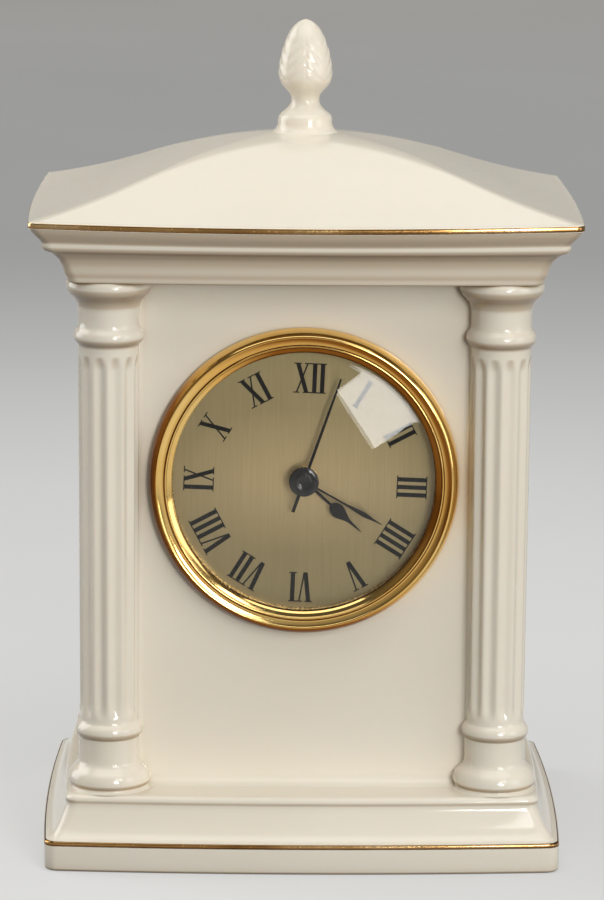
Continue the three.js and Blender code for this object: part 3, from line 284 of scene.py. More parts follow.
# Floor and world, with the distances of their fades in metres
FLOOR_HALF = 4000
FLOOR_DRIFT = 3
FLOOR_TINTS = ((0.3, (0.80, 0.80, 0.79)), (0.7, (0.83, 0.83, 0.82)))
FLOOR_ROUGHNESS = 0.7
FLOOR_SPECULAR = 0.2
# Floor glow: painted light, brightest round the clock and dimmer far away
FLOOR_GLOWS = (0.84, 0.41)
FLOOR_GLOW_FADE = (0.2, 1.15)
FLOOR_OWN_LIGHT = (0.62, 1.0)
FLOOR_OWN_FADE = (0.25, 0.8)
FLOOR_HAZE_FADE = (1.5, 3.8)
FLOOR_BOUNCE = (0.05, 0.05, 0.05)
WORLD_COLOUR = (1.0, 0.96, 0.89)
WORLD_STRENGTHS = (0.34, 0.085)
WORLD_FADE = (0.05, 0.7)

# Values that the materials share
WHITE = (1.0, 1.0, 1.0)
UPWARDS = (0, 0, 1)
UNIT = (0.0, 1.0)
BOTH_WAYS = (-1.0, 1.0)
NOISE_RANGE = (0.3, 0.7)
GRAIN_HEIGHT = 0.0002
SHELTER_SAMPLES = 8

# Porcelain, with heights and reaches in metres and noise in features per metre
IVORY = ((0.3, (0.815, 0.745, 0.615)), (0.7, (0.845, 0.785, 0.665)))
GLAZE_DRIFT = 14
GLAZE_FINE = 420
GLAZE_ROUGHNESS = (0.06, 0.1)
GLAZE_RIPPLE = 0.1
GLAZE_RIPPLE_HEIGHT = 0.0004
# Painted shade: warm brown darkening in crevices narrower than the reach, weaker near the floor
PAINTED_CREVICE_SHADE_REACH = 0.005
PAINTED_CREVICE_SHADE = (
    (0.15, (0.30, 0.20, 0.11)), (0.4, (0.72, 0.62, 0.50)), (0.6, (0.93, 0.90, 0.86)), (0.8, WHITE),
)
CREVICE_SHADE_HEIGHTS = (0.03, 0.12)
CREVICE_SHADE_SHARES = (0.4, 1.0)
# Painted shade on surfaces that face down, faded out above the crown heights
PAINTED_UNDERSIDE_SHADE = ((0.1, (0.47, 0.38, 0.30)), (0.35, (0.75, 0.67, 0.58)), (0.47, WHITE))
CROWN_HEIGHTS = (0.186, 0.194)
CROWN_SHARES = (1.0, 0.2)
GLAZE_DEPTH_WEIGHT = 0.06
GLAZE_DEPTH_SCALE = 0.002

# Fired gold, gilt plate and brushed dial
FIRED_PATCHES = 45
FIRED_FINE = 1500
FIRED_ROUGHNESS = (0.14, 0.28)
FIRED_GOLDS = ((0.3, (0.30, 0.16, 0.05)), (0.5, (0.58, 0.35, 0.13)), (0.7, (0.80, 0.57, 0.29)))
# Painted shade: dark reflections painted along both edges of each gold line
FIRED_EDGE_DARK = (0.08, 0.045, 0.025)
FIRED_PAINTED_EDGE_SHADE = (
    (0.0, FIRED_EDGE_DARK), (0.25, (0.40, 0.31, 0.23)), (0.55, WHITE),
    (0.8, (0.62, 0.52, 0.42)), (1.0, FIRED_EDGE_DARK),
)
GILT_DRIFT = 60
GILT_FINE = 2200
GILT_SHADE_REACH = 0.0012
# Painted shade in the grooves of the gilt
GILT_PAINTED_GROOVE_SHADE = ((0.3, (0.30, 0.17, 0.09)), (0.85, WHITE))
# Painted light from up and to the right: gilt walls turned away from it are painted darker
GILT_BRIGHT_SIDE = (0.75, 0.0, 0.66)
GILT_GOLDS = ((0.3, (0.88, 0.56, 0.17)), (0.7, (0.95, 0.66, 0.25)))
GILT_PAINTED_SIDE_SHADE = (
    (0.16, (0.17, 0.085, 0.04)), (0.38, (0.32, 0.17, 0.065)), (0.49, (0.90, 0.78, 0.60)), (0.56, WHITE),
)
GILT_ROUGHNESS = (0.07, 0.14)
REFLECTOR_GOLDS = ((0.3, (0.62, 0.45, 0.19)), (0.7, (0.70, 0.53, 0.25)))
# Painted shade on the reflector's walls, softer than on the bezel
REFLECTOR_PAINTED_SIDE_SHADE = ((0.2, (0.42, 0.30, 0.16)), (0.42, (0.62, 0.50, 0.32)), (0.6, WHITE))
REFLECTOR_ROUGHNESS = (0.2, 0.3)
CHAMPAGNE = ((0.305, 0.229, 0.116), (0.318, 0.240, 0.122), (0.332, 0.252, 0.131))
# Painted sheen: a band of brighter colour across the middle of the dial
SHEEN_SQUEEZE = (0.5, 0, 1)
SHEEN_CENTRE = (-0.001, 0, 0.102)
SHEEN_RANGE = (0.0, 0.034)
PAINTED_SHEEN_TINTS = ((0.15, WHITE), (0.55, (0.70, 0.73, 0.70)), (1.0, (0.66, 0.70, 0.66)))
LENS_IOR = 1.29
LENS_DRIFT = 60
LENS_ROUGHNESS = (0.0, 0.012)
LACQUER_BLACKS = ((0.003, 0.003, 0.003), (0.008, 0.007, 0.006))


# Helpers for shapes


def mix(a, b, t):
    return a + (b - a) * t


def millimetres(node):
    """Lowest and highest corner of a CAD node, in millimetres."""
    low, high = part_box(node)
    return low / MM, high / MM


def circle(steps):
    """Angles of evenly spaced points round a circle, in radians."""
    return [FULL_TURN * i / steps for i in range(steps)]


def spline(points, steps=4):
    """Points of a smooth curve through the given ones."""
    ends = [points[0], *points, points[-1]]
    curve = []
    for i in range(1, len(ends) - 2):
        a, b, c, d = (Vector(p) for p in ends[i - 1 : i + 3])
        for step in range(steps):
            t = step / steps
            square = (2 * a - 5 * b + 4 * c - d) * t**2
            cube = (3 * b - a - 3 * c + d) * t**3
            curve.append(0.5 * (2 * b + (c - a) * t + square + cube))
    curve.append(Vector(points[-1]))
    return curve


def arc(centre, radius, start, end, steps):
    """Points of a circular arc in a profile plane, from one angle to another."""
    angles = [math.radians(mix(start, end, i / steps)) for i in range(steps + 1)]
    return [(centre[0] + radius * math.cos(a), centre[1] + radius * math.sin(a)) for a in angles]


def skin(rings, joined=False):
    """Vertices and faces over rings of points, capped at both ends or joined end to end."""
    count = len(rings[0])
    faces = []
    spans = len(rings) if joined else len(rings) - 1
    for level in range(spans):
        low = level * count
        high = (level + 1) % len(rings) * count
        for i in range(count):
            j = (i + 1) % count
            faces.append((low + i, low + j, high + j, high + i))
    if not joined:
        last = (len(rings) - 1) * count
        faces.append(tuple(range(count))[::-1])
        faces.append(tuple(range(last, last + count)))
    return [point for ring in rings for point in ring], faces


def merge(parts):
    """Vertices and faces of several skins as one."""
    vertices = []
    faces = []
    for part_vertices, part_faces in parts:
        start = len(vertices)
        vertices += part_vertices
        faces += [tuple(i + start for i in face) for face in part_faces]
    return vertices, faces


def turn_outwards(mesh):
    """Makes the faces of a closed mesh point outwards."""
    volume = 0
    mesh.calc_loop_triangles()
    for triangle in mesh.loop_triangles:
        a, b, c = (mesh.vertices[i].co for i in triangle.vertices)
        volume += a.dot(b.cross(c))
    if volume < 0:
        mesh.flip_normals()


def smooth(obj, sharp):
    """Shades an object smooth, apart from edges over the given angle."""
    obj.data.polygons.foreach_set("use_smooth", [True] * len(obj.data.polygons))
    obj.data.set_sharp_from_angle(angle=math.radians(sharp))


def add_object(name, data):
    obj = bpy.data.objects.new(name, data)
    bpy.context.scene.collection.objects.link(obj)
    return obj


def build(name, vertices, faces, sharp=SHARP_ANGLE):
    """A closed mesh object from points in millimetres."""
    mesh = bpy.data.meshes.new(name)
    mesh.from_pydata([Vector(v) * MM for v in vertices], [], faces)
    mesh.validate()
    turn_outwards(mesh)
    obj = add_object(name, mesh)
    smooth(obj, sharp)
    return obj


def cut(obj, *cutters, sharp):
    """Cuts closed meshes out of an object and removes the cutters."""
    for cutter in cutters:
        modifier = obj.modifiers.new("cut", "BOOLEAN")
        modifier.operation = "DIFFERENCE"
        modifier.solver = "EXACT"
        modifier.object = cutter
    bpy.context.view_layer.update()
    evaluated = obj.evaluated_get(bpy.context.evaluated_depsgraph_get())
    obj.data = bpy.data.meshes.new_from_object(evaluated)
    obj.modifiers.clear()
    for cutter in cutters:
        bpy.data.objects.remove(cutter)
    smooth(obj, sharp)


def dress(obj, body, slot, material, *nodes):
    """Gives a piece its material and body, and hides the CAD nodes that it stands for. The slot is not
    used.
    """
    obj.data.materials.clear()
    obj.data.materials.append(material)
    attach(obj, body)
    if nodes:
        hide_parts(*nodes)


# Sizes from the frame

plinth_high = millimetres("plinth")[1]
body_high = millimetres("case_body")[1]
cornice_low = millimetres("cornice")[0]
roof_high = millimetres("roof")[1]
finial_low, finial_high = millimetres("finial")
pillar_low, pillar_high = millimetres("pillar_rear_right")
base_line_low, base_line_high = millimetres("base_gold_band")
roof_line_low, roof_line_high = millimetres("roof_gold_band")
bezel_low, bezel_high = millimetres("bezel")
cup_low, cup_high = millimetres("insert_cup")


def straight_halves(high, corner):
    """Half sizes at the corners of a bowed rectangle, from its largest extent."""
    half_x, half_y = high.x, high.y
    for _ in range(BOW_PASSES):
        half_x = high.x - (half_y - corner) ** 2 / (2 * BOW_RADIUS)
        half_y = high.y - (half_x - corner) ** 2 / (2 * BOW_RADIUS)
    return half_x, half_y


PLINTH_TOP = plinth_high.z - STEP_SINK
BASE_X, BASE_Y = (half - GOLD_PROUD - GOLD_GAP for half in straight_halves(plinth_high, CORNER_RADIUS))
BODY_TOP = cornice_low.z
BODY_HEIGHT = BODY_TOP - PLINTH_TOP
PANEL_X = body_high.x
PANEL_Y = body_high.y
HOLLOW_X = PANEL_X - WALL
HOLLOW_Y = PANEL_Y - WALL
PILLAR_X = (pillar_low.x + pillar_high.x) / 2
PILLAR_Y = (pillar_low.y + pillar_high.y) / 2
CAPITAL_RADIUS = (pillar_high.x - pillar_low.x) / 2
CORNICE_X = PILLAR_X + CAPITAL_RADIUS - CORNICE_INSET
CORNICE_Y = PILLAR_Y + CAPITAL_RADIUS - CORNICE_INSET
CORNICE_TOP = roof_line_low.z - CORNICE_GAP
ROOF_X, ROOF_Y = straight_halves(roof_high, ROOF_CORNER)
ROOF_BOTTOM = roof_line_low.z - ROOF_GAP
RIM_TOP = roof_line_high.z + LINE_LIFT
ROOF_RISE = roof_high.z - RIM_TOP
SEAT_RADIUS = (finial_high.x - finial_low.x) / 2 + SEAT_SPARE
DIAL_Z = (bezel_low.z + bezel_high.z) / 2
BEZEL_RADIUS = (bezel_high.z - bezel_low.z) / 2
CUP_RADIUS = (cup_high.z - cup_low.z) / 2
SKIRT_INNER = CUP_RADIUS + FIT_GAP
SKIRT_OUTER = SKIRT_INNER + SKIRT_WALL
LIP_INNER = SKIRT_INNER - LIP_REACH
INSIDE_RADIUS = SKIRT_INNER - FIT_GAP


# Helpers for materials


def new_material(name):
    """A new material, its node tree and its Principled shader."""
    material = bpy.data.materials.new(name)
    material.use_nodes = True
    tree = material.node_tree
    return material, tree, tree.nodes["Principled BSDF"]


def fill(node, **inputs):
    """Links or sets the inputs of a node, named with _ for each space."""
    for name, value in inputs.items():
        socket = node.inputs[name.replace("_", " ")]
        if isinstance(value, bpy.types.NodeSocket):
            node.id_data.links.new(value, socket)
        else:
            socket.default_value = value


def add_node(tree, kind, **inputs):
    """A new shader node with its inputs filled."""
    node = tree.nodes.new(f"ShaderNode{kind}")
    fill(node, **inputs)
    return node


def object_place(tree):
    return add_node(tree, "TexCoord").outputs["Object"]


def height_of(tree):
    """Height of the surface over the floor, in metres."""
    place = add_node(tree, "NewGeometry").outputs["Position"]
    return add_node(tree, "SeparateXYZ", Vector=place).outputs["Z"]


def noise_of(tree, scale, detail=3, stretch=None):
    """A noise texture in object space, in features per metre."""
    place = object_place(tree)
    if stretch:
        place = add_node(tree, "Mapping", Vector=place, Scale=stretch).outputs["Vector"]
    return add_node(tree, "TexNoise", Vector=place, Scale=scale, Detail=detail).outputs["Fac"]


def ramp_of(tree, value, stops):
    """A colour ramp from (position, colour) stops."""
    ramp = add_node(tree, "ValToRGB", Fac=value)
    elements = ramp.color_ramp.elements
    for end, (position, colour) in enumerate((stops[0], stops[-1])):
        elements[end].position = position
        elements[end].color = (*colour, 1)
    for position, colour in stops[1:-1]:
        elements.new(position).color = (*colour, 1)
    return ramp.outputs["Color"]


def range_of(tree, value, source, target, soft=False):
    """Maps a value from one range to another, as a straight line or as a soft step."""
    mapped = add_node(tree, "MapRange", Value=value)
    mapped.interpolation_type = "SMOOTHSTEP" if soft else "LINEAR"
    fill(mapped, From_Min=source[0], From_Max=source[1], To_Min=target[0], To_Max=target[1])
    return mapped.outputs["Result"]


def bump_of(tree, value, strength, height):
    return add_node(tree, "Bump", Height=value, Strength=strength, Distance=height).outputs["Normal"]


def multiply(tree, colour, tint, share=1):
    """A colour times a share of a tint."""
    product = add_node(tree, "Mix")
    product.data_type = "RGBA"
    product.blend_type = "MULTIPLY"
    fill(product, Factor=share, A=colour, B=tint)
    return product.outputs["Result"]


def vector_of(tree, operation, source, operand, output):
    """A vector operation on a source and a fixed operand."""
    node = add_node(tree, "VectorMath")
    node.operation = operation
    node.inputs[1].default_value = operand
    tree.links.new(source, node.inputs[0])
    return node.outputs[output]


def facing_of(tree, direction):
    """One where the surface faces a direction, zero where it faces away, and a half across it."""
    normal = add_node(tree, "NewGeometry").outputs["Normal"]
    share = vector_of(tree, "DOT_PRODUCT", normal, direction, "Value")
    return range_of(tree, share, BOTH_WAYS, UNIT)


def shelter_of(tree, reach):
    """One in the open, and less in hollows that are narrower than the reach."""
    shelter = add_node(tree, "AmbientOcclusion", Distance=reach)
    shelter.samples = SHELTER_SAMPLES
    return shelter.outputs["AO"]


def blend_of(tree, share, first, second):
    """A blend of two shaders, by the share of the second."""
    blend = add_node(tree, "MixShader", Fac=share)
    tree.links.new(first, blend.inputs[1])
    tree.links.new(second, blend.inputs[2])
    return blend.outputs["Shader"]


def sum_of(tree, first, second):
    """The sum of two values, no larger than one."""
    node = add_node(tree, "Math")
    node.operation = "ADD"
    node.use_clamp = True
    tree.links.new(first, node.inputs[0])
    tree.links.new(second, node.inputs[1])
    return node.outputs["Value"]


# Materials


def surface(name, colours, roughness, scale=40, grain=900, bump=0.05, stretch=None, **inputs):
    """A Principled material whose colour and roughness drift, with a fine grain in its bump."""
    material, tree, shader = new_material(name)
    drift = noise_of(tree, scale, stretch=stretch)
    fine = noise_of(tree, grain, detail=2, stretch=stretch)
    stops = [(mix(*NOISE_RANGE, i / (len(colours) - 1)), colour) for i, colour in enumerate(colours)]
    fill(
        shader,
        Base_Color=ramp_of(tree, drift, stops),
        Roughness=range_of(tree, fine, NOISE_RANGE, roughness),
        Normal=bump_of(tree, fine, bump, GRAIN_HEIGHT),
        **inputs,
    )
    return material


def porcelain_material():
    """Ivory body under a clear glaze, with painted warm shade in its crevices and painted shade on the
    surfaces that face down.
    """
    material, tree, shader = new_material("porcelain_glaze")
    drift = noise_of(tree, GLAZE_DRIFT)
    fine = noise_of(tree, GLAZE_FINE, detail=2)
    height = height_of(tree)
    ivory = ramp_of(tree, drift, IVORY)
    # Painted shade in the crevices, weaker near the floor
    crevice_shade = ramp_of(tree, shelter_of(tree, PAINTED_CREVICE_SHADE_REACH), PAINTED_CREVICE_SHADE)
    shaded_ivory = multiply(tree, ivory, crevice_shade, range_of(tree, height, CREVICE_SHADE_HEIGHTS, CREVICE_SHADE_SHARES))
    # Painted shade on surfaces that face down, kept weak high up on the clock
    under = ramp_of(tree, facing_of(tree, UPWARDS), PAINTED_UNDERSIDE_SHADE)
    fill(
        shader,
        Base_Color=multiply(tree, shaded_ivory, under, range_of(tree, height, CROWN_HEIGHTS, CROWN_SHARES)),
        Roughness=range_of(tree, fine, NOISE_RANGE, GLAZE_ROUGHNESS),
        Normal=bump_of(tree, drift, GLAZE_RIPPLE, GLAZE_RIPPLE_HEIGHT),
        Subsurface_Weight=GLAZE_DEPTH_WEIGHT,
        Subsurface_Scale=GLAZE_DEPTH_SCALE,
    )
    return material


def fired_gold_material():
    """Patchy gold stroke, with painted dark reflections shading both of its edges."""
    material, tree, shader = new_material("fired_gold")
    fine = noise_of(tree, FIRED_FINE, detail=2)
    gold = ramp_of(tree, noise_of(tree, FIRED_PATCHES), FIRED_GOLDS)
    stroke = add_node(tree, "Attribute")
    stroke.attribute_name = "across"
    # Painted shade darkens the stroke at both of its edges
    edge_shade = ramp_of(tree, stroke.outputs["Fac"], FIRED_PAINTED_EDGE_SHADE)
    fill(
        shader,
        Base_Color=multiply(tree, gold, edge_shade),
        Roughness=range_of(tree, fine, NOISE_RANGE, FIRED_ROUGHNESS),
        Metallic=1,
    )
    return material


def gilt_material(name, golds, side_shade, roughness):
    """Gold plate, with painted amber shade in its grooves and painted shade on the walls turned low and
    left.
    """
    material, tree, shader = new_material(name)
    fine = noise_of(tree, GILT_FINE, detail=2)
    gold = ramp_of(tree, noise_of(tree, GILT_DRIFT), golds)
    # Painted shade in the grooves and on the walls turned away from the bright side
    groove = ramp_of(tree, shelter_of(tree, GILT_SHADE_REACH), GILT_PAINTED_GROOVE_SHADE)
    wall = ramp_of(tree, facing_of(tree, GILT_BRIGHT_SIDE), side_shade)
    fill(
        shader,
        Base_Color=multiply(tree, multiply(tree, gold, groove), wall),
        Roughness=range_of(tree, fine, NOISE_RANGE, roughness),
        Metallic=1,
    )
    return material


def dial_material():
    """Champagne metal brushed up and down, with a painted sheen round the middle."""
    material = surface(
        "brushed_champagne",
        CHAMPAGNE,
        (0.30, 0.42),
        scale=1500,
        grain=4200,
        bump=0.1,
        stretch=(1.0, 1.0, 0.03),
        Metallic=0.85,
        Anisotropic=0.5,
    )
    tree = material.node_tree
    shader = tree.nodes["Principled BSDF"]
    brushed = shader.inputs["Base Color"].links[0].from_socket
    # Painted sheen, brightest in a band across the middle
    squeezed = vector_of(tree, "MULTIPLY", object_place(tree), SHEEN_SQUEEZE, "Vector")
    away = vector_of(tree, "DISTANCE", squeezed, SHEEN_CENTRE, "Value")
    sheen = ramp_of(tree, range_of(tree, away, SHEEN_RANGE, UNIT), PAINTED_SHEEN_TINTS)
    fill(shader, Base_Color=multiply(tree, brushed, sheen))
    return material


def lens_material():
    """Clear glass that lets lamp light through to the dial."""
    material, tree, shader = new_material("lens_glass")
    roughness = range_of(tree, noise_of(tree, LENS_DRIFT), NOISE_RANGE, LENS_ROUGHNESS)
    fill(shader, Base_Color=(*WHITE, 1), Transmission_Weight=1, IOR=LENS_IOR, Roughness=roughness)
    clear = add_node(tree, "BsdfTransparent")
    shadow_ray = add_node(tree, "LightPath").outputs["Is Shadow Ray"]
    glass = blend_of(tree, shadow_ray, shader.outputs["BSDF"], clear.outputs["BSDF"])
    fill(tree.nodes["Material Output"], Surface=glass)
    return material


PORCELAIN = porcelain_material()
FIRED_GOLD = fired_gold_material()
GILT = gilt_material("gilt_plate", GILT_GOLDS, GILT_PAINTED_SIDE_SHADE, GILT_ROUGHNESS)
REFLECTOR_GILT = gilt_material("gilt_reflector", REFLECTOR_GOLDS, REFLECTOR_PAINTED_SIDE_SHADE, REFLECTOR_ROUGHNESS)
DIAL = dial_material()
LENS = lens_material()
INK = surface(
    "dial_ink",
    [(0.003, 0.003, 0.003), (0.007, 0.006, 0.005)],
    (0.5, 0.7),
    scale=300,
    Specular_IOR_Level=0.05,
)
LACQUER = surface("black_lacquer", LACQUER_BLACKS, (0.10, 0.22), scale=250, Specular_IOR_Level=0.15)
HUB_LACQUER = surface("hub_lacquer", LACQUER_BLACKS, (0.06, 0.12), scale=250, Specular_IOR_Level=0.45)

SLOT_MATERIALS = {
    "porcelain": PORCELAIN,
    "fired_gold": FIRED_GOLD,
    "gilt": GILT,
    "lens_glass": LENS,
    "dial": DIAL,
    "black_lacquer": LACQUER,
    "rubber": surface(
        "rubber",
        [(0.018, 0.018, 0.018), (0.035, 0.034, 0.033)],
        (0.6, 0.85),
        grain=1400,
        bump=0.2,
    ),
    "black_plastic": surface(
        "black_plastic",
        [(0.032, 0.032, 0.033), (0.055, 0.054, 0.053)],
        (0.34, 0.5),
        grain=3000,
        bump=0.18,
    ),
    "pale_plastic": surface(
        "pale_plastic",
        [(0.66, 0.64, 0.57), (0.74, 0.72, 0.65)],
        (0.3, 0.5),
        grain=1800,
    ),
    "brass": surface(
        "turned_brass",
        [(0.62, 0.43, 0.15), (0.74, 0.55, 0.24)],
        (0.2, 0.36),
        Metallic=1.0,
        grain=2500,
    ),
    "steel": surface(
        "ground_steel",
        [(0.42, 0.43, 0.44), (0.58, 0.59, 0.60)],
        (0.2, 0.4),
        Metallic=1.0,
        grain=2500,
    ),
    "cell_jacket": surface(
        "cell_jacket",
        [(0.20, 0.21, 0.23), (0.30, 0.31, 0.33)],
        (0.22, 0.35),
        Metallic=0.6,
    ),
    "copper_wire": surface(
        "enamelled_wire",
        [(0.35, 0.12, 0.05), (0.62, 0.28, 0.13)],
        (0.22, 0.4),
        Metallic=0.8,
        scale=900,
        stretch=(6.0, 0.1, 0.1),
    ),
    "board_laminate": surface(
        "board_laminate",
        [(0.012, 0.09, 0.035), (0.03, 0.16, 0.07)],
        (0.25, 0.4),
        scale=500,
    ),
}


# Porcelain pieces


def bowed_ring(half_x, half_y, z, corner=CORNER_RADIUS, droop=0.0):
    """A rectangle with round corners and bowed sides that droop in the middle."""
    ring = []
    for quarter, (sign_x, sign_y) in enumerate(QUADRANTS):
        centre_x = sign_x * (half_x - corner)
        centre_y = sign_y * (half_y - corner)
        for step in range(CORNER_STEPS + 1):
            angle = (quarter + step / CORNER_STEPS) * math.pi / 2
            ring.append((centre_x + corner * math.cos(angle), centre_y + corner * math.sin(angle), z))
        outwards = (quarter + 1) * math.pi / 2
        along = outwards + math.pi / 2
        length = (half_x if quarter % 2 == 0 else half_y) - corner
        reach = half_y if quarter % 2 == 0 else half_x
        sag = length**2 / (2 * BOW_RADIUS)
        for step in range(1, SIDE_STEPS):
            t = 2 * step / SIDE_STEPS - 1
            out = reach + sag * (1 - t * t)
            x = out * math.cos(outwards) + t * length * math.cos(along)
            y = out * math.sin(outwards) + t * length * math.sin(along)
            ring.append((x, y, z - droop * (1 - t * t)))
    return ring


def plinth_profile():
    """(inset, height) points from the foot up to the edge of the top."""
    slope_top = PLINTH_TOP - STEP_DROP
    ledge = base_line_high.z + LINE_LIFT
    run = SLOPE_INSET - LEDGE_ROUND
    foot = arc((0, FOOT_ROUND), FOOT_ROUND, -90, 0, steps=5)
    edge = arc((0, ledge - LEDGE_ROUND), LEDGE_ROUND, 0, 90, steps=6)
    points = [(FOOT_ROUND - x, z) for x, z in foot]
    points += [(LEDGE_ROUND - x, z) for x, z in edge]
    for i in range(1, SLOPE_STEPS + 1):
        u = i / SLOPE_STEPS
        points.append((LEDGE_ROUND + run * u, ledge + (slope_top - ledge) * u**SLOPE_POWER))
    points += [(inset, slope_top + rise) for inset, rise in STEP_VALLEY]
    points += arc((STEP_INSET + STEP_ROUND, PLINTH_TOP - STEP_ROUND), STEP_ROUND, 180, 90, steps=8)
    return points


def make_plinth():
    rings = [bowed_ring(BASE_X - inset, BASE_Y - inset, z) for inset, z in plinth_profile()]
    rings.append(bowed_ring(HOLLOW_X, HOLLOW_Y, PLINTH_TOP))
    rings.append(bowed_ring(HOLLOW_X, HOLLOW_Y, PLINTH_FLOOR))
    plinth = build("plinth_porcelain", *skin(rings))
    dress(plinth, "case", "porcelain", PORCELAIN, "plinth")


def gold_line(name, node, path, half_x, half_y, corner, droop=0.0):
    """A thin painted line that follows a path of (inset, height) points on the porcelain."""
    back = [(inset + GOLD_THICK, z) for inset, z in path[::-1]]
    rings = [bowed_ring(half_x - inset, half_y - inset, z, corner, droop) for inset, z in path + back]
    line = build(name, *skin(rings, joined=True))
    shares = [i / (len(path) - 1) for i in range(len(path))]
    across = line.data.attributes.new("across", "FLOAT", "POINT")
    across.data.foreach_set("value", [share for share in shares + shares[::-1] for _ in rings[0]])
    dress(line, "case", "fired_gold", FIRED_GOLD, node)


def make_base_line():
    ledge = base_line_high.z + LINE_LIFT + GOLD_PROUD
    low = base_line_low.z + LINE_LIFT
    radius = LEDGE_ROUND + GOLD_PROUD
    edge = arc((0, ledge - radius), radius, 0, GOLD_WRAP, steps=6)
    path = [(LEDGE_ROUND - radius, mix(low, ledge - radius, i / GOLD_ROWS)) for i in range(GOLD_ROWS)]
    path += [(LEDGE_ROUND - x, z) for x, z in edge]
    gold_line("base_gold_line", "base_gold_band", path, BASE_X, BASE_Y, CORNER_RADIUS)


def pillar_profile():
    """(height, radius) points of a pillar, from the plinth to the cornice."""
    foot = spline(PILLAR_FOOT)
    head = spline([(BODY_HEIGHT - drop, radius) for drop, radius in PILLAR_HEAD])
    low, high = foot[-1], head[0]
    rows = [i / FLUTE_END_ROWS for i in range(1, FLUTE_END_ROWS + 1)]
    ends = [FLUTE_END_RUN * row / (high.x - low.x) for row in rows]
    middle = [mix(ends[-1], 1 - ends[-1], i / SHAFT_ROWS) for i in range(1, SHAFT_ROWS)]
    shares = ends + middle + [1 - share for share in reversed(ends)]
    return foot + [low.lerp(high, share) for share in shares] + head


def flute_depth(angle, height):
    """Depth of the flutes at an angle round the shaft and a height."""
    end = min(height - FLUTE_LOW, BODY_HEIGHT - FLUTE_DROP - height)
    if end <= 0:
        return 0.0
    reach = math.sin(min(end / FLUTE_END_RUN, 1.0) * math.pi / 2)
    phase = (angle * FLUTES / FULL_TURN) % 1
    across = abs(phase - 0.5) * 2
    wave = 0.5 + 0.5 * math.cos(math.pi * across)
    return FLUTE_DEPTH * reach * wave ** mix(FLUTE_END_POWER, FLUTE_POWER, reach)


def make_pillar(name, x, y):
    rings = []
    for height, radius in pillar_profile():
        ring = []
        for angle in circle(PILLAR_COLUMNS):
            reach = radius - flute_depth(angle, height)
            ring.append((x + reach * math.cos(angle), y + reach * math.sin(angle), PLINTH_TOP + height))
        rings.append(ring)
    pillar = build(f"{name}_porcelain", *skin(rings))
    dress(pillar, "case", "porcelain", PORCELAIN, name)


def panel_row(half, plane, flare):
    """One panel of the body at one height, as (along, outwards) points with a fillet to each pillar."""
    offset = flare + JOIN_FILLET - (PILLAR_X - PANEL_X)
    reach = math.sqrt((PILLAR_JOIN + JOIN_FILLET) ** 2 - offset**2)
    start = math.degrees(math.atan2(-offset, -reach))
    if start > 0:
        start -= 360
    fillet = arc((-half + reach, plane + flare + JOIN_FILLET), JOIN_FILLET, start, -90, steps=7)
    return fillet + [(-along, outwards) for along, outwards in reversed(fillet)]


def body_flare(height):
    """How far the panels swell into the plinth, and draw back under the cornice, at a height."""
    if BODY_HEIGHT - height < CREVICE_HEIGHT:
        return -CREVICE_DEPTH
    rest = max(0.0, PANEL_FILLET - height)
    return PANEL_FILLET - math.sqrt(PANEL_FILLET**2 - rest**2)


def body_cutters():
    """Closed meshes of the hollow, the hole for the insert and the access hole behind."""
    box = [
        [(sign_x * HOLLOW_X, sign_y * HOLLOW_Y, z) for sign_x, sign_y in QUADRANTS]
        for z in (PLINTH_TOP - CUT_SPARE, BODY_TOP + CUT_SPARE)
    ]
    hole = BEZEL_RADIUS - BEZEL_LAP
    front = [(0, -CUT_SPARE), (hole, -CUT_SPARE), (hole, CUT_DEPTH), (0, CUT_DEPTH)]
    back = PANEL_Y * 2
    mouth = REAR_HOLE + MOUTH_ROUND
    rear = [
        (0, back - CUT_DEPTH),
        (REAR_HOLE, back - CUT_DEPTH),
        *arc((mouth, back - MOUTH_ROUND), MOUTH_ROUND, 180, 90, steps=5),
        (mouth, back + CUT_SPARE),
        (0, back + CUT_SPARE),
    ]
    return (
        build("hollow_cutter", *skin(box)),
        lathe_mesh("front_cutter", front, CUTTER_STEPS),
        lathe_mesh("rear_cutter", rear, CUTTER_STEPS),
    )


def make_body():
    crevice = BODY_HEIGHT - CREVICE_HEIGHT
    levels = [PANEL_FILLET * i / PANEL_FILLET_ROWS for i in range(PANEL_FILLET_ROWS + 1)]
    rows = range(1, PANEL_ROWS + 1)
    levels += [mix(PANEL_FILLET, crevice - CREVICE_EDGE, row / PANEL_ROWS) for row in rows]
    levels += [crevice + CREVICE_STEP, BODY_HEIGHT]
    rings = []
    for height in levels:
        flare = body_flare(height)
        front = panel_row(PILLAR_X, PANEL_Y, flare)
        side = panel_row(PILLAR_Y, PANEL_X, flare)
        z = PLINTH_TOP + height
        ring = [(along, -out, z) for along, out in front]
        ring += [(out, along, z) for along, out in side]
        ring += [(-along, out, z) for along, out in front]
        ring += [(-out, -along, z) for along, out in side]
        rings.append(ring)
    body = build("body_porcelain", *skin(rings))
    cut(body, *body_cutters(), sharp=50)
    dress(body, "case", "porcelain", PORCELAIN, "case_body")


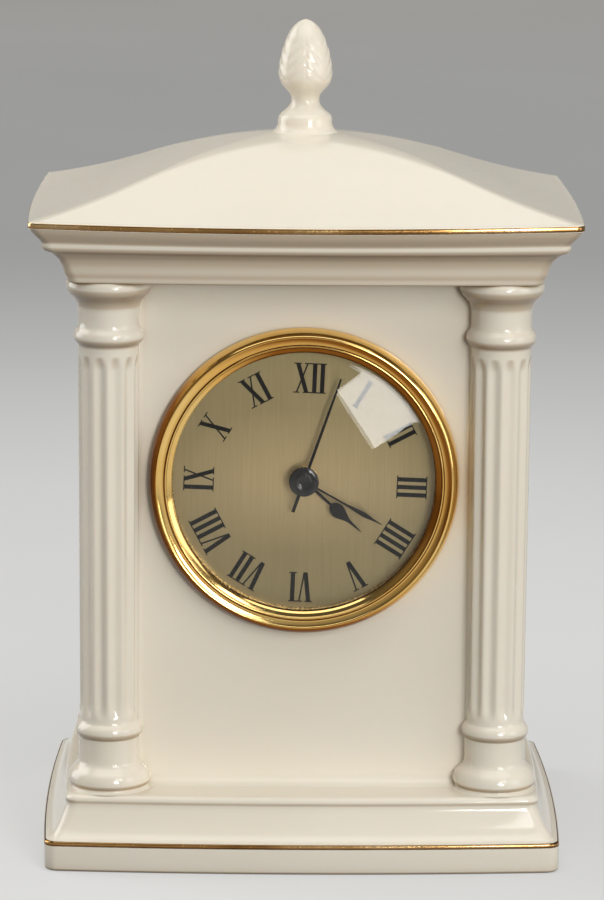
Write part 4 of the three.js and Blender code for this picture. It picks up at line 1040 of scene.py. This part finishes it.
def make_cornice():
    profile = [*CORNICE_PROFILE, (CORNICE_TOP_SHARE, CORNICE_TOP - BODY_TOP)]
    rings = []
    for share, rise in spline(profile):
        half_x = CORNICE_X + (ROOF_X - CORNICE_X) * share
        half_y = CORNICE_Y + (ROOF_Y - CORNICE_Y) * share
        droop = RIM_DROOP * min(1.0, max(0.0, (rise - DROOP_START) / DROOP_RUN))
        rings.append(bowed_ring(half_x, half_y, BODY_TOP + rise, CORNICE_CORNER, droop))
    rings.append(bowed_ring(HOLLOW_X, HOLLOW_Y, CORNICE_TOP))
    rings.append(bowed_ring(HOLLOW_X, HOLLOW_Y, BODY_TOP))
    cornice = build("cornice_porcelain", *skin(rings, joined=True))
    dress(cornice, "case", "porcelain", PORCELAIN, "cornice")


def roof_height(share):
    """Height of the outside of the roof, at a share of zero at the finial to one at the rim."""
    swell = ROOF_CROWN * math.sin(math.pi * share) + ROOF_OGEE * math.sin(2 * math.pi * share)
    return RIM_TOP + ROOF_RISE * (1 - share + swell)


def roof_ring(share, z, droop):
    """A ring of the roof, which turns from the rim's rectangle to the finial's round seat."""
    rounding = max(0.0, 1 - share / ROUND_SHARE) ** 2
    half_x = mix(SEAT_RADIUS, ROOF_X - RIM_INSET, share)
    half_y = mix(mix(SEAT_RADIUS, ROOF_Y - RIM_INSET, share), half_x, rounding)
    corner = mix(min(half_x, half_y), ROOF_CORNER, min(1.0, share * CORNER_GROWTH) ** 0.5)
    return bowed_ring(half_x, half_y, z, corner, droop)


def make_roof():
    rings = [bowed_ring(ROOF_X - RIM_INSET, ROOF_Y - RIM_INSET, ROOF_BOTTOM, ROOF_CORNER, RIM_DROOP)]
    for i in range(RIM_STEPS + 1):
        angle = math.radians(90 / RIM_STEPS * i)
        inset = RIM_INSET + RIM_ROUND * (1 - math.cos(angle))
        z = RIM_TOP - RIM_DROP + RIM_ROUND * math.sin(angle)
        rings.append(bowed_ring(ROOF_X - inset, ROOF_Y - inset, z, ROOF_CORNER, RIM_DROOP))
    for i in range(1, ROOF_STEPS + 1):
        share = 1 - i / ROOF_STEPS
        droop = RIM_DROOP * max(0.0, share * DROOP_FADE - DROOP_FADE + 1)
        rings.append(roof_ring(share * ROOF_SHRINK, roof_height(share), droop))
    hollow = []
    for i in reversed(range(HOLLOW_RINGS)):
        size = 1 - HOLLOW_SHRINK * i
        height = roof_height(HOLLOW_X * size / ROOF_X) - WALL
        hollow.append(bowed_ring(HOLLOW_X * size, HOLLOW_Y * size, height))
    hollow.append(bowed_ring(HOLLOW_X, HOLLOW_Y, ROOF_BOTTOM))
    roof = build("roof_porcelain", *skin(hollow + rings))
    dress(roof, "case", "porcelain", PORCELAIN, "roof")


def make_roof_line():
    low = roof_line_low.z - ROOF_LINE_DROP
    path = [(inset, low + rise) for inset, rise in ROOF_LINE_PATH]
    gold_line("roof_gold_line", "roof_gold_band", path, ROOF_X, ROOF_Y, ROOF_CORNER, RIM_DROOP)


def leaf_relief(angle, radius, height, top):
    """Depth of the veins that slant up to the middle rib of each leaf round the cone."""
    high = top - LEAF_TOP_GAP
    if not LEAF_LOW < height < high:
        return 0.0
    leaf = FULL_TURN / LEAVES
    aside = abs((angle - math.pi / 2 + leaf / 2) % leaf - leaf / 2)
    edge = max(0.0, LEAF_EDGE - 2 * aside / leaf) * LEAF_EDGE_FADE
    fade = min(1.0, (height - LEAF_LOW) / LEAF_LOW_FADE, (high - height) / LEAF_HIGH_FADE, edge)
    phase = (height + VEIN_SLOPE * radius * aside) / VEIN_PITCH
    groove = (0.5 + 0.5 * math.cos(FULL_TURN * phase)) ** 2
    rib = max(0.0, 1 - aside * radius / RIB_WIDTH)
    return VEIN_DEPTH * fade * max(groove, RIB_SHARE * rib)


def make_finial():
    top = finial_high.z - finial_low.z
    rings = []
    for radius, height in spline(FINIAL_PROFILE, steps=5):
        ring = []
        z = finial_low.z + min(height, top)
        for angle in circle(ROUND_STEPS):
            reach = max(AXIS_GAP, radius - leaf_relief(angle, radius, height, top))
            ring.append((reach * math.cos(angle), reach * math.sin(angle), z))
        rings.append(ring)
    finial = build("finial_porcelain", *skin(rings))
    dress(finial, "case", "porcelain", PORCELAIN, "finial")


# Clock insert


def insert_point(x, z, depth):
    """A point from its place on the dial and its depth behind the front of the panel."""
    return (x, depth - PANEL_Y, DIAL_Z + z)


def turned_ring(radius, depth, steps):
    return [insert_point(radius * math.cos(a), radius * math.sin(a), depth) for a in circle(steps)]


def lathe_mesh(name, profile, steps=ROUND_STEPS, closed=False, sharp=SHARP_ANGLE):
    """A piece turned about the insert's axis from (radius, depth) points."""
    rings = [turned_ring(max(radius, AXIS_GAP), depth, steps) for radius, depth in profile]
    return build(name, *skin(rings, joined=closed), sharp=sharp)


def from_rim(points):
    """(radius, depth) points from their insets behind the bezel's rim."""
    return [(BEZEL_RADIUS - inset, depth) for inset, depth in points]


def make_bezel():
    profile = [
        *spline(from_rim(BEZEL_WALL)),
        *spline(from_rim(BEZEL_EDGE), steps=3),
        *spline(from_rim(BEZEL_BAND)),
        *from_rim(BEZEL_GROOVE),
        *spline(from_rim(BEZEL_BEAD), steps=3),
        *spline([*from_rim(BEZEL_SLOPE), (LIP_INNER, LIP_FRONT)]),
        (LIP_INNER, LIP_BACK),
        (SKIRT_INNER, LIP_BACK),
        (SKIRT_INNER, SKIRT_BACK),
        (SKIRT_OUTER, SKIRT_BACK),
        (SKIRT_OUTER, SKIRT_FRONT),
    ]
    bezel = lathe_mesh("bezel_gilt", profile, closed=True, sharp=34)
    dress(bezel, "insert", "gilt", GILT, "bezel")


def lens_face(radius, edge):
    """(radius, depth) points of a dome from its middle to its edge."""
    steps = range(LENS_STEPS + 1)
    return [(radius * i / LENS_STEPS, edge - LENS_DOME * (1 - (i / LENS_STEPS) ** 2)) for i in steps]


def make_lens():
    dome = SKIRT_INNER - LENS_RIM
    inside = lens_face(dome - LENS_THICK, LENS_BACK)
    outside = lens_face(dome, LENS_EDGE)
    profile = [*inside, (INSIDE_RADIUS, LENS_BACK), (INSIDE_RADIUS, LENS_EDGE), *outside[::-1]]
    lens = lathe_mesh("lens_dome", profile, sharp=40)
    dress(lens, "insert", "lens_glass", LENS, "lens")


def make_reflector():
    outer = INSIDE_RADIUS
    inner = outer - REFLECTOR_WALL
    profile = [
        (inner + 0.1, 2.0), (outer, 2.0), (outer, -0.9), (inner + 0.25, -0.9), (inner, -0.6), (inner, 0.4),
        (inner + 0.2, 0.6), (inner + 0.2, 0.9), (inner, 1.1), (inner - 0.15, 1.7), (inner - 0.15, 2.0),
    ]
    ring = lathe_mesh("reflector_gilt", profile, closed=True, sharp=30)
    dress(ring, "insert", "gilt", REFLECTOR_GILT, "reflector_ring")


def make_dial():
    profile = [
        (DIAL_HOLE, DIAL_BACK),
        (INSIDE_RADIUS, DIAL_BACK),
        (INSIDE_RADIUS, DIAL_FRONT + DIAL_BEVEL),
        (INSIDE_RADIUS - DIAL_BEVEL, DIAL_FRONT),
        (DIAL_HOLE, DIAL_FRONT),
    ]
    dial = lathe_mesh("dial_champagne", profile, closed=True, sharp=30)
    dress(dial, "insert", "dial", DIAL, "dial_plate")


def bar(left, right, low, high):
    return [(left, low), (right, low), (right, high), (left, high)]


def slant(foot, head, thick):
    """A stroke from its middle on the foot line to its middle at the top."""
    half = thick / 2
    top = NUMERAL_HEIGHT
    return [(foot - half, 0), (foot + half, 0), (head + half, top), (head - half, top)]


def letter_strokes(letter):
    """Polygons of a serif capital, from its left edge, on a foot line at zero."""
    width = LETTER_WIDTHS[letter]
    middle = width / 2
    edge = SERIF_REACH + STROKE_THICK / 2
    foot = (0, SERIF_THICK)
    head = (NUMERAL_HEIGHT - SERIF_THICK, NUMERAL_HEIGHT)
    if letter == "I":
        return [
            bar(middle - STROKE_THICK / 2, middle + STROKE_THICK / 2, 0, NUMERAL_HEIGHT),
            bar(0, width, *foot),
            bar(0, width, *head),
        ]
    if letter == "V":
        return [
            slant(middle - V_THICK_FOOT, edge, STROKE_THICK),
            slant(middle + V_THIN_FOOT, width - edge + V_SPREAD, STROKE_THIN),
            bar(0, 2 * edge, *head),
            bar(width - 2 * edge + 2 * V_SPREAD, width, *head),
        ]
    return [
        slant(width - edge, edge, STROKE_THICK),
        slant(edge - X_SPREAD, width - edge + X_SPREAD, STROKE_THIN),
        bar(0, 2 * edge, *head),
        bar(width - 2 * edge + 2 * X_SPREAD, width, *head),
        bar(0, 2 * edge - 2 * X_SPREAD, *foot),
        bar(width - 2 * edge, width, *foot),
    ]


def turned_point(x, out, angle, depth):
    """A point of the dial at a distance across and out along a direction, clockwise from the top."""
    across = x * math.cos(angle) + out * math.sin(angle)
    up = out * math.cos(angle) - x * math.sin(angle)
    return insert_point(across, up, depth)


def make_numerals():
    """Printed hour numerals, each with its foot towards the centre."""
    shift = Vector((PRINT_RIGHT, 0, -PRINT_DROP))
    strokes = []
    for hour, word in enumerate(NUMERALS):
        angle = math.radians(HOUR_STEP * hour + DIAL_TURN)
        left = -sum(LETTER_WIDTHS[letter] for letter in word) / 2
        for letter in word:
            for polygon in letter_strokes(letter):
                outline = [(left + x, NUMERAL_FOOT + y) for x, y in polygon]
                strokes.append(skin([
                    [Vector(turned_point(x, out, angle, depth)) + shift for x, out in outline]
                    for depth in (DIAL_FRONT + INK_SINK, DIAL_FRONT - INK_THICK)
                ]))
            left += LETTER_WIDTHS[letter]
    numerals = build("dial_numerals", *merge(strokes), sharp=20)
    dress(numerals, "insert", "black_lacquer", INK)


def make_hand(name, half_outline, angle, front, ring, hole):
    """A flat hand with a softly rounded face, mirrored from the right half of its outline."""
    right = [Vector(p) for p in half_outline]
    outline = right + [Vector((-p.x, p.y)) for p in reversed(right)]
    turn = math.radians(angle)
    back = front + HAND_THICK
    rings = []
    for inset, depth in ((0.0, back), (0.0, front + HAND_THICK * HAND_BEVEL_SHARE), (HAND_BEVEL, front)):
        halves = [math.copysign(max(abs(p.x) - inset, HAND_LEAST_HALF), p.x) for p in outline]
        rings.append([turned_point(half, p.y, turn, depth) for half, p in zip(halves, outline)])
    corners = ((hole, front), (ring, front), (ring, back), (hole, back))
    disc = [turned_ring(radius, depth, HAND_RING_STEPS) for radius, depth in corners]
    shape = merge([skin(rings), skin(disc, joined=True)])
    hand = build(f"{name}_lacquered", *shape, sharp=30)
    dress(hand, name, "black_lacquer", LACQUER, name)


def make_hands():
    hour = [*HOUR_STEM, *spline(HOUR_LEAF, steps=5), HOUR_TIP]
    minute = [*MINUTE_STEM, *spline(MINUTE_LEAF), MINUTE_TIP]
    make_hand("hour_hand", hour, HOUR_ANGLE, front=0.35, ring=2.7, hole=1.75)
    make_hand("minute_hand", minute, MINUTE_ANGLE, front=-0.40, ring=1.95, hole=1.02)
    make_hand("second_hand", SECOND_OUTLINE, SECOND_ANGLE, front=-1.15, ring=1.35, hole=0.45)


def from_hub_back(points):
    """(radius, depth) points from their rise above the hub's back."""
    return [(radius, HUB_BACK - rise) for radius, rise in points]


def make_hub():
    profile = [
        (0, HUB_BACK),
        *spline(from_hub_back(HUB_DOME)),
        *from_hub_back(HUB_GROOVE),
        *spline(from_hub_back(HUB_RING)),
        *spline(from_hub_back(HUB_DISH)),
    ]
    hub = lathe_mesh("hub_lacquered", profile, steps=HUB_STEPS, sharp=30)
    dress(hub, "second_hand", "black_lacquer", HUB_LACQUER, "hub_cap")


# Stage, lights and camera


def floor_material():
    """Pale paper to the eye and in reflections, darker where it bounces light back on the clock."""
    material, tree, paper = new_material("floor_paper")
    tints = ramp_of(tree, noise_of(tree, FLOOR_DRIFT), FLOOR_TINTS)
    fill(paper, Base_Color=tints, Roughness=FLOOR_ROUGHNESS, Specular_IOR_Level=FLOOR_SPECULAR)
    distance = vector_of(tree, "LENGTH", object_place(tree), (0, 0, 0), "Value")
    # Painted pool of light round the clock, fading outwards
    strength = range_of(tree, distance, FLOOR_GLOW_FADE, FLOOR_GLOWS, soft=True)
    far = range_of(tree, distance, FLOOR_HAZE_FADE, UNIT)
    haze = ramp_of(tree, far, ((0.0, WHITE), (1.0, WORLD_COLOUR)))
    glow = add_node(tree, "Emission", Strength=strength, Color=multiply(tree, tints, haze))
    own_light = range_of(tree, distance, FLOOR_OWN_FADE, FLOOR_OWN_LIGHT, soft=True)
    seen = blend_of(tree, own_light, paper.outputs["BSDF"], glow.outputs["Emission"])
    bounce = add_node(tree, "BsdfDiffuse", Color=(*FLOOR_BOUNCE, 1))
    path = add_node(tree, "LightPath").outputs
    mirrored = sum_of(tree, path["Is Glossy Ray"], path["Is Transmission Ray"])
    looked_at = sum_of(tree, path["Is Camera Ray"], mirrored)
    floor = blend_of(tree, looked_at, bounce.outputs["BSDF"], seen)
    fill(tree.nodes["Material Output"], Surface=floor)
    return material


def make_floor():
    mesh = bpy.data.meshes.new("floor")
    corners = [(-FLOOR_HALF, -FLOOR_HALF, 0), (FLOOR_HALF, -FLOOR_HALF, 0)]
    corners += [(FLOOR_HALF, FLOOR_HALF, 0), (-FLOOR_HALF, FLOOR_HALF, 0)]
    mesh.from_pydata([Vector(c) * MM for c in corners], [], [(0, 1, 2, 3)])
    mesh.materials.append(floor_material())
    add_object("floor", mesh)


def add_softbox(name, place, target, size, watts, roll):
    light = bpy.data.lights.new(name, "AREA")
    light.shape = "RECTANGLE"
    light.size, light.size_y = size
    light.energy = watts
    lamp = add_object(name, light)
    lamp.location = place
    aim = (Vector(target) - Vector(place)).to_track_quat("-Z", "Y").to_matrix()
    lamp.rotation_euler = (aim @ Matrix.Rotation(math.radians(roll), 3, "Z")).to_euler()


def make_world():
    """A soft studio sky that darkens from the horizon upwards."""
    world = bpy.data.worlds.new("studio")
    world.use_nodes = True
    tree = world.node_tree
    direction = add_node(tree, "TexCoord").outputs["Generated"]
    up = add_node(tree, "SeparateXYZ", Vector=direction).outputs["Z"]
    strength = range_of(tree, up, WORLD_FADE, WORLD_STRENGTHS, soft=True)
    fill(tree.nodes["Background"], Strength=strength, Color=(*WORLD_COLOUR, 1))
    bpy.context.scene.world = world


def make_camera():
    sin_pitch, cos_pitch = math.sin(CAMERA_PITCH), math.cos(CAMERA_PITCH)
    sin_pan, cos_pan = math.sin(CAMERA_PAN), math.cos(CAMERA_PAN)
    forward = Vector((sin_pan * cos_pitch, cos_pan * cos_pitch, -sin_pitch))
    level = Vector((cos_pan, -sin_pan, 0))
    upright = Vector((sin_pan * sin_pitch, cos_pan * sin_pitch, cos_pitch))
    right = math.cos(CAMERA_ROLL) * level + math.sin(CAMERA_ROLL) * upright
    up = math.cos(CAMERA_ROLL) * upright - math.sin(CAMERA_ROLL) * level
    rotation = Matrix((right, up, -forward)).transposed().to_4x4()
    data = bpy.data.cameras.new("camera")
    data.sensor_width = SENSOR
    data.lens = FOCAL_PIXELS * SENSOR / IMAGE_HEIGHT
    data.clip_start = CLIP_START
    data.clip_end = CLIP_END
    camera = add_object("camera", data)
    camera.matrix_world = Matrix.Translation(Vector(CAMERA_PLACE) * MM) @ rotation
    bpy.context.scene.camera = camera


# The clock

make_plinth()
make_base_line()
for row_name, row_y in (("front", -PILLAR_Y), ("rear", PILLAR_Y)):
    make_pillar(f"pillar_{row_name}_left", -PILLAR_X, row_y)
    make_pillar(f"pillar_{row_name}_right", PILLAR_X, row_y)
make_body()
make_cornice()
make_roof()
make_roof_line()
make_finial()
make_bezel()
make_lens()
make_reflector()
make_dial()
make_numerals()
make_hands()
make_hub()

for subpart in frame["record"]["subparts"]:
    cad_node = frame["nodes"][subpart["node"]]
    cad_node.data.materials.clear()
    cad_node.data.materials.append(SLOT_MATERIALS[subpart["material_slot"]])

# The studio

make_floor()
for softbox in SOFTBOXES:
    add_softbox(*softbox)
make_world()
make_camera()
bpy.context.scene.view_settings.view_transform = "Standard"
